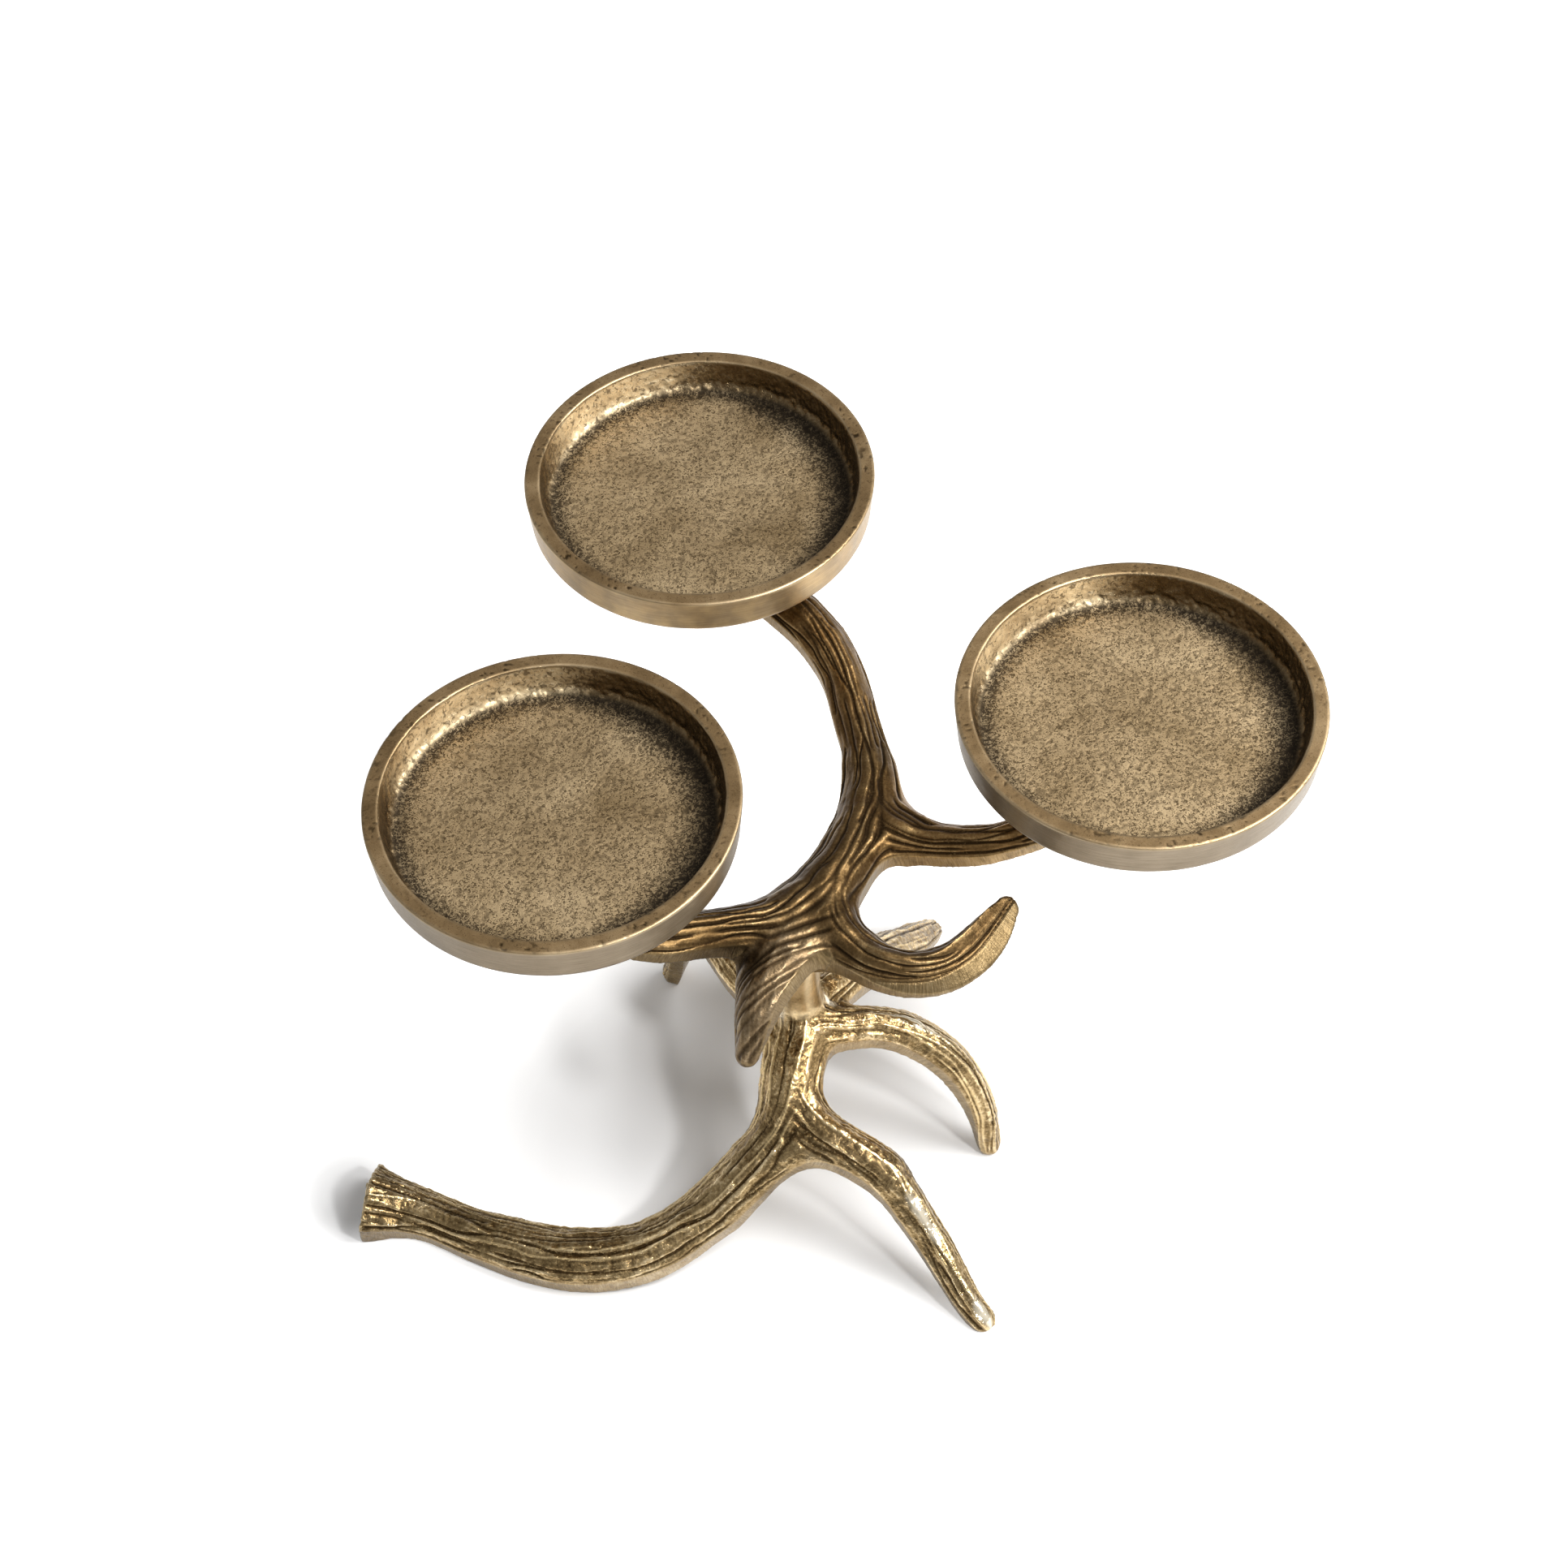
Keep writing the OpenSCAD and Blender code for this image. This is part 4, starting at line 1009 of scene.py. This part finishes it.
upper_look = antler_look(
    "upper_antler_brass",
    tones=((0.1, (0.038, 0.021, 0.009)), (0.42, (0.094, 0.056, 0.022)), (0.66, (0.15, 0.094, 0.04)),
           (0.92, (0.28, 0.195, 0.095))),
    ground=((0.15, (0.07, 0.045, 0.018)), (0.5, (0.2, 0.14, 0.067)), (0.85, (0.33, 0.25, 0.14))),
    groove=(0.024, 0.014, 0.006), ridge=(0.26, 0.18, 0.085), polished=(0.4, 0.3, 0.165),
    spread=0.8, marks=0.9, gloss=0.24, sandy=0.6)
lower_look = antler_look(
    "lower_antler_brass",
    tones=((0.1, (0.055, 0.033, 0.014)), (0.4, (0.195, 0.13, 0.057)), (0.62, (0.385, 0.276, 0.138)),
           (0.88, (0.8, 0.64, 0.39))),
    ground=((0.15, (0.13, 0.088, 0.04)), (0.5, (0.34, 0.247, 0.13)), (0.85, (0.62, 0.5, 0.32))),
    groove=(0.055, 0.033, 0.013), ridge=(0.72, 0.54, 0.28), polished=(0.7, 0.55, 0.33),
    spread=1.0, marks=0.5, gloss=0.06, sandy=1.1)


def pan_look():
    """Cast brass: a sandy floor with patina and painted shade by its wall, an inner wall with a painted
    highlight and painted shade, a pitted rim with painted highlights on its edges, and a brushed skirt with
    painted light on the back pan.
    """
    k = Look("pan_cast_brass")
    inside, wall, rim, skirt, close, pits, nicks, edge, shade, tint = k.read_all(
        "inside wall rim skirt close pits nicks edge shade tint")
    wide, patch, grain = k.noise(26, 3, warp=0.3), k.noise(6, 3), k.noise(0.78, 1.5, warp=1.3)
    fine, mottle = k.noise(0.4, 2), k.noise(1.5, 3, warp=1.0, shift=7.0)
    brush = k.noise(0.5, 2, stretch=(0.06, 0.06, 1.6))

    # painted shade and patina by the inner wall: more and darker specks, and a near-black band widest on the
    # +x side
    sand = k.span(grain, k.sum((close, -0.1), (1.0, 0.515)), k.sum((close, -0.09), (1.0, 0.585)))
    speck = k.math("MAXIMUM", sand, k.times(pits, k.sum((close, 0.45), (1.0, 0.62))))
    floor_tone = k.ramp(k.sum((wide, 1.0), (patch, 0.28), (fine, 0.4), (1.0, -0.34)),
                        (0.2, (0.235, 0.164, 0.083)), (0.5, (0.385, 0.284, 0.16)), (0.8, (0.51, 0.39, 0.233)))
    dark = k.mix(close, (0.048, 0.03, 0.014), (0.012, 0.008, 0.006))
    cast = k.mix(k.times(speck, k.sum((close, 0.15), (1.0, 0.8))), floor_tone, dark)
    cast = k.mix(k.times(k.math("POWER", close, 1.4), 0.88), cast, (0.02, 0.015, 0.01))

    # the inner wall: brass with dark mottles, a painted highlight at LIT_AT and painted shade round the rest
    wall_tone_and_sheen = k.ramp(k.sum((wide, 0.6), (patch, 0.5), (1.0, -0.05)),
                  (0.25, (0.29, 0.195, 0.095)), (0.62, (0.84, 0.67, 0.41)))
    mottled = k.span(k.sum((mottle, 1.0), (shade, 0.1)), 0.52, 0.66)
    wall_tone_and_sheen = k.mix(k.times(mottled, 0.8), wall_tone_and_sheen, (0.085, 0.06, 0.03))
    wall_tone_and_sheen = k.mix(k.times(shade, 0.9), wall_tone_and_sheen, (0.135, 0.09, 0.044))

    rim_tone = k.ramp(k.sum((wide, 0.8), (patch, 0.4), (fine, 0.3), (1.0, -0.25)),
                      (0.2, (0.15, 0.094, 0.041)), (0.5, (0.285, 0.188, 0.091)), (0.8, (0.45, 0.32, 0.175)))
    rim_tone = k.mix(nicks, rim_tone, (0.045, 0.028, 0.012))
    rim_tone = k.mix(k.times(k.span(grain, 0.58, 0.68), 0.55), rim_tone, (0.06, 0.038, 0.017))

    skirt_tone = k.ramp(k.sum((wide, 0.6), (brush, 0.6), (patch, 0.3), (1.0, -0.25)),
                        (0.2, (0.145, 0.106, 0.06)), (0.5, (0.225, 0.174, 0.112)), (0.8, (0.31, 0.25, 0.172)))
    # painted light: the back pan's skirt is paler than the others'
    back_skirt_painted_light = k.times(tint, k.span(patch, 0.3, 0.7, 0.55, 0.95))
    skirt_tone = k.mix(back_skirt_painted_light, skirt_tone, (1.95, 1.72, 1.28), "MULTIPLY")
    under_tone = k.ramp(k.sum((wide, 0.7), (grain, 0.5), (1.0, -0.1)),
                        (0.3, (0.1, 0.066, 0.03)), (0.7, (0.3, 0.215, 0.11)))

    colour = k.mix(inside, under_tone, k.mix(wall, cast, wall_tone_and_sheen))
    colour = k.mix(skirt, colour, skirt_tone)
    colour = k.mix(rim, colour, rim_tone)
    # painted highlight: paler along the rim's edges
    colour = k.mix(k.times(edge, k.span(wide, 0.35, 0.65, 0.15, 0.5)), colour, (0.6, 0.48, 0.31))
    rough = k.sum((inside, 0.2), (wall, -0.28), (speck, 0.06), (rim, 0.04), (skirt, -0.02), (patch, 0.14),
                  (1.0, 0.28))
    lit_wall = k.times(wall, k.less(shade))
    k.set(colour, rough, k.sum((lit_wall, -0.5), (skirt, -0.22), (1.0, 1.0)))
    rough_skin = k.math("MAXIMUM", inside, k.less(k.math("ADD", rim, skirt)))
    k.bump(k.sum((k.times(speck, rough_skin), -0.6), (k.times(brush, skirt), 0.12),
                 (k.times(grain, k.less(skirt)), 0.1)), 0.2, 0.45)
    return k.material


def steel_look():
    """Bright zinc on the screws, washers and bolt."""
    k = Look("zinc_steel")
    wide, fine = k.noise(3.5, 3), k.noise(0.35, 2, stretch=(1, 1, 0.2))
    colour = k.ramp(k.sum((wide, 0.7), (fine, 0.4)), (0.3, (0.33, 0.33, 0.32)), (0.8, (0.62, 0.62, 0.6)))
    k.set(colour, k.sum((wide, 0.2), (fine, 0.14), (1.0, 0.18)), 1.0)
    k.bump(fine, 0.05, 0.5)
    return k.material


def dress(o, m):
    o.data.materials.clear()
    o.data.materials.append(m)


dress(low_antler, lower_look)
dress(up_antler, upper_look)
pan_brass = pan_look()
for o in pans:
    dress(o, pan_brass)
steel = steel_look()
for n in ("pan_screws", "pan_washers", "column_bolt", "column_washer"):
    dress(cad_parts[n], steel)

# floor and lights, in metres and watts
FLOOR_HALF = 6.0
FLOOR_GLOW, GLOW_REFLECTED = 0.6, 0.3
# the floor keeps its shadow round these places: each with where the glow starts and where it is full
SHADOWS = [((-0.03, -0.075, 0.0), 0.055, 0.115), ((-0.152, -0.088, 0.0), 0.008, 0.026)]
BRIGHT_SIDE = (0.72, -0.2, 0.66)
LAMP_AIM = (0, 0, 0.05)


def floor_look():
    """Pale, with a glow for the camera and reflections, away from the holder's shadow."""
    k = Look("floor_look")
    k.set((0.9, 0.9, 0.9, 1), 0.9, 0.0)
    clear = 1.0
    for at, near, far in SHADOWS:
        clear = k.math("MINIMUM", clear, k.span(k.between("DISTANCE", k.place, at), near, far))
    seen = k.ray("Is Camera Ray")
    for kind in ("Is Glossy Ray", "Is Transmission Ray"):
        seen = k.math("MAXIMUM", seen, k.times(k.ray(kind), GLOW_REFLECTED))
    k.shader.inputs["Specular IOR Level"].default_value = 0.1
    k.shader.inputs["Emission Color"].default_value = (1, 1, 1, 1)
    k.give(k.shader.inputs["Emission Strength"], k.times(k.times(clear, FLOOR_GLOW), seen))
    return k.material


floor_corners = FLOOR_HALF * np.array([[-1, -1, 0], [1, -1, 0], [1, 1, 0], [-1, 1, 0]])
floor = mesh_object("floor", floor_corners, np.array([[0, 1, 2, 3]]))
dress(floor, floor_look())


def make_world():
    """White for the camera, dim as light, and brighter from one side in reflections."""
    world = bpy.data.worlds.new("world")
    bpy.context.scene.world = world
    world.use_nodes = True
    k = Nodes(world.node_tree)
    toward = k.between("DOT_PRODUCT", k.coords["Generated"], BRIGHT_SIDE)
    glossy = k.math("MULTIPLY_ADD", k.ray("Is Glossy Ray"), k.span(toward, 0.15, 0.95, 0.04, 0.58), 0.42)
    background = world.node_tree.nodes["Background"]
    background.inputs["Color"].default_value = (1, 1, 1, 1)
    k.give(background.inputs["Strength"], k.math("MAXIMUM", glossy, k.ray("Is Camera Ray")))


def lamp(name, at, size, power):
    data = bpy.data.lights.new(name, "AREA")
    data.shape, data.size, data.energy = "SQUARE", size, power
    o = placed(name, data)
    o.location = at
    o.rotation_euler = (Vector(LAMP_AIM) - Vector(at)).to_track_quat("-Z", "Y").to_euler()


make_world()
lamp("key", (1.05, 0.0, 1.42), 1.0, 41)
lamp("front", (0.75, -0.75, 1.15), 0.16, 9)
bpy.context.scene.view_settings.view_transform = "Standard"
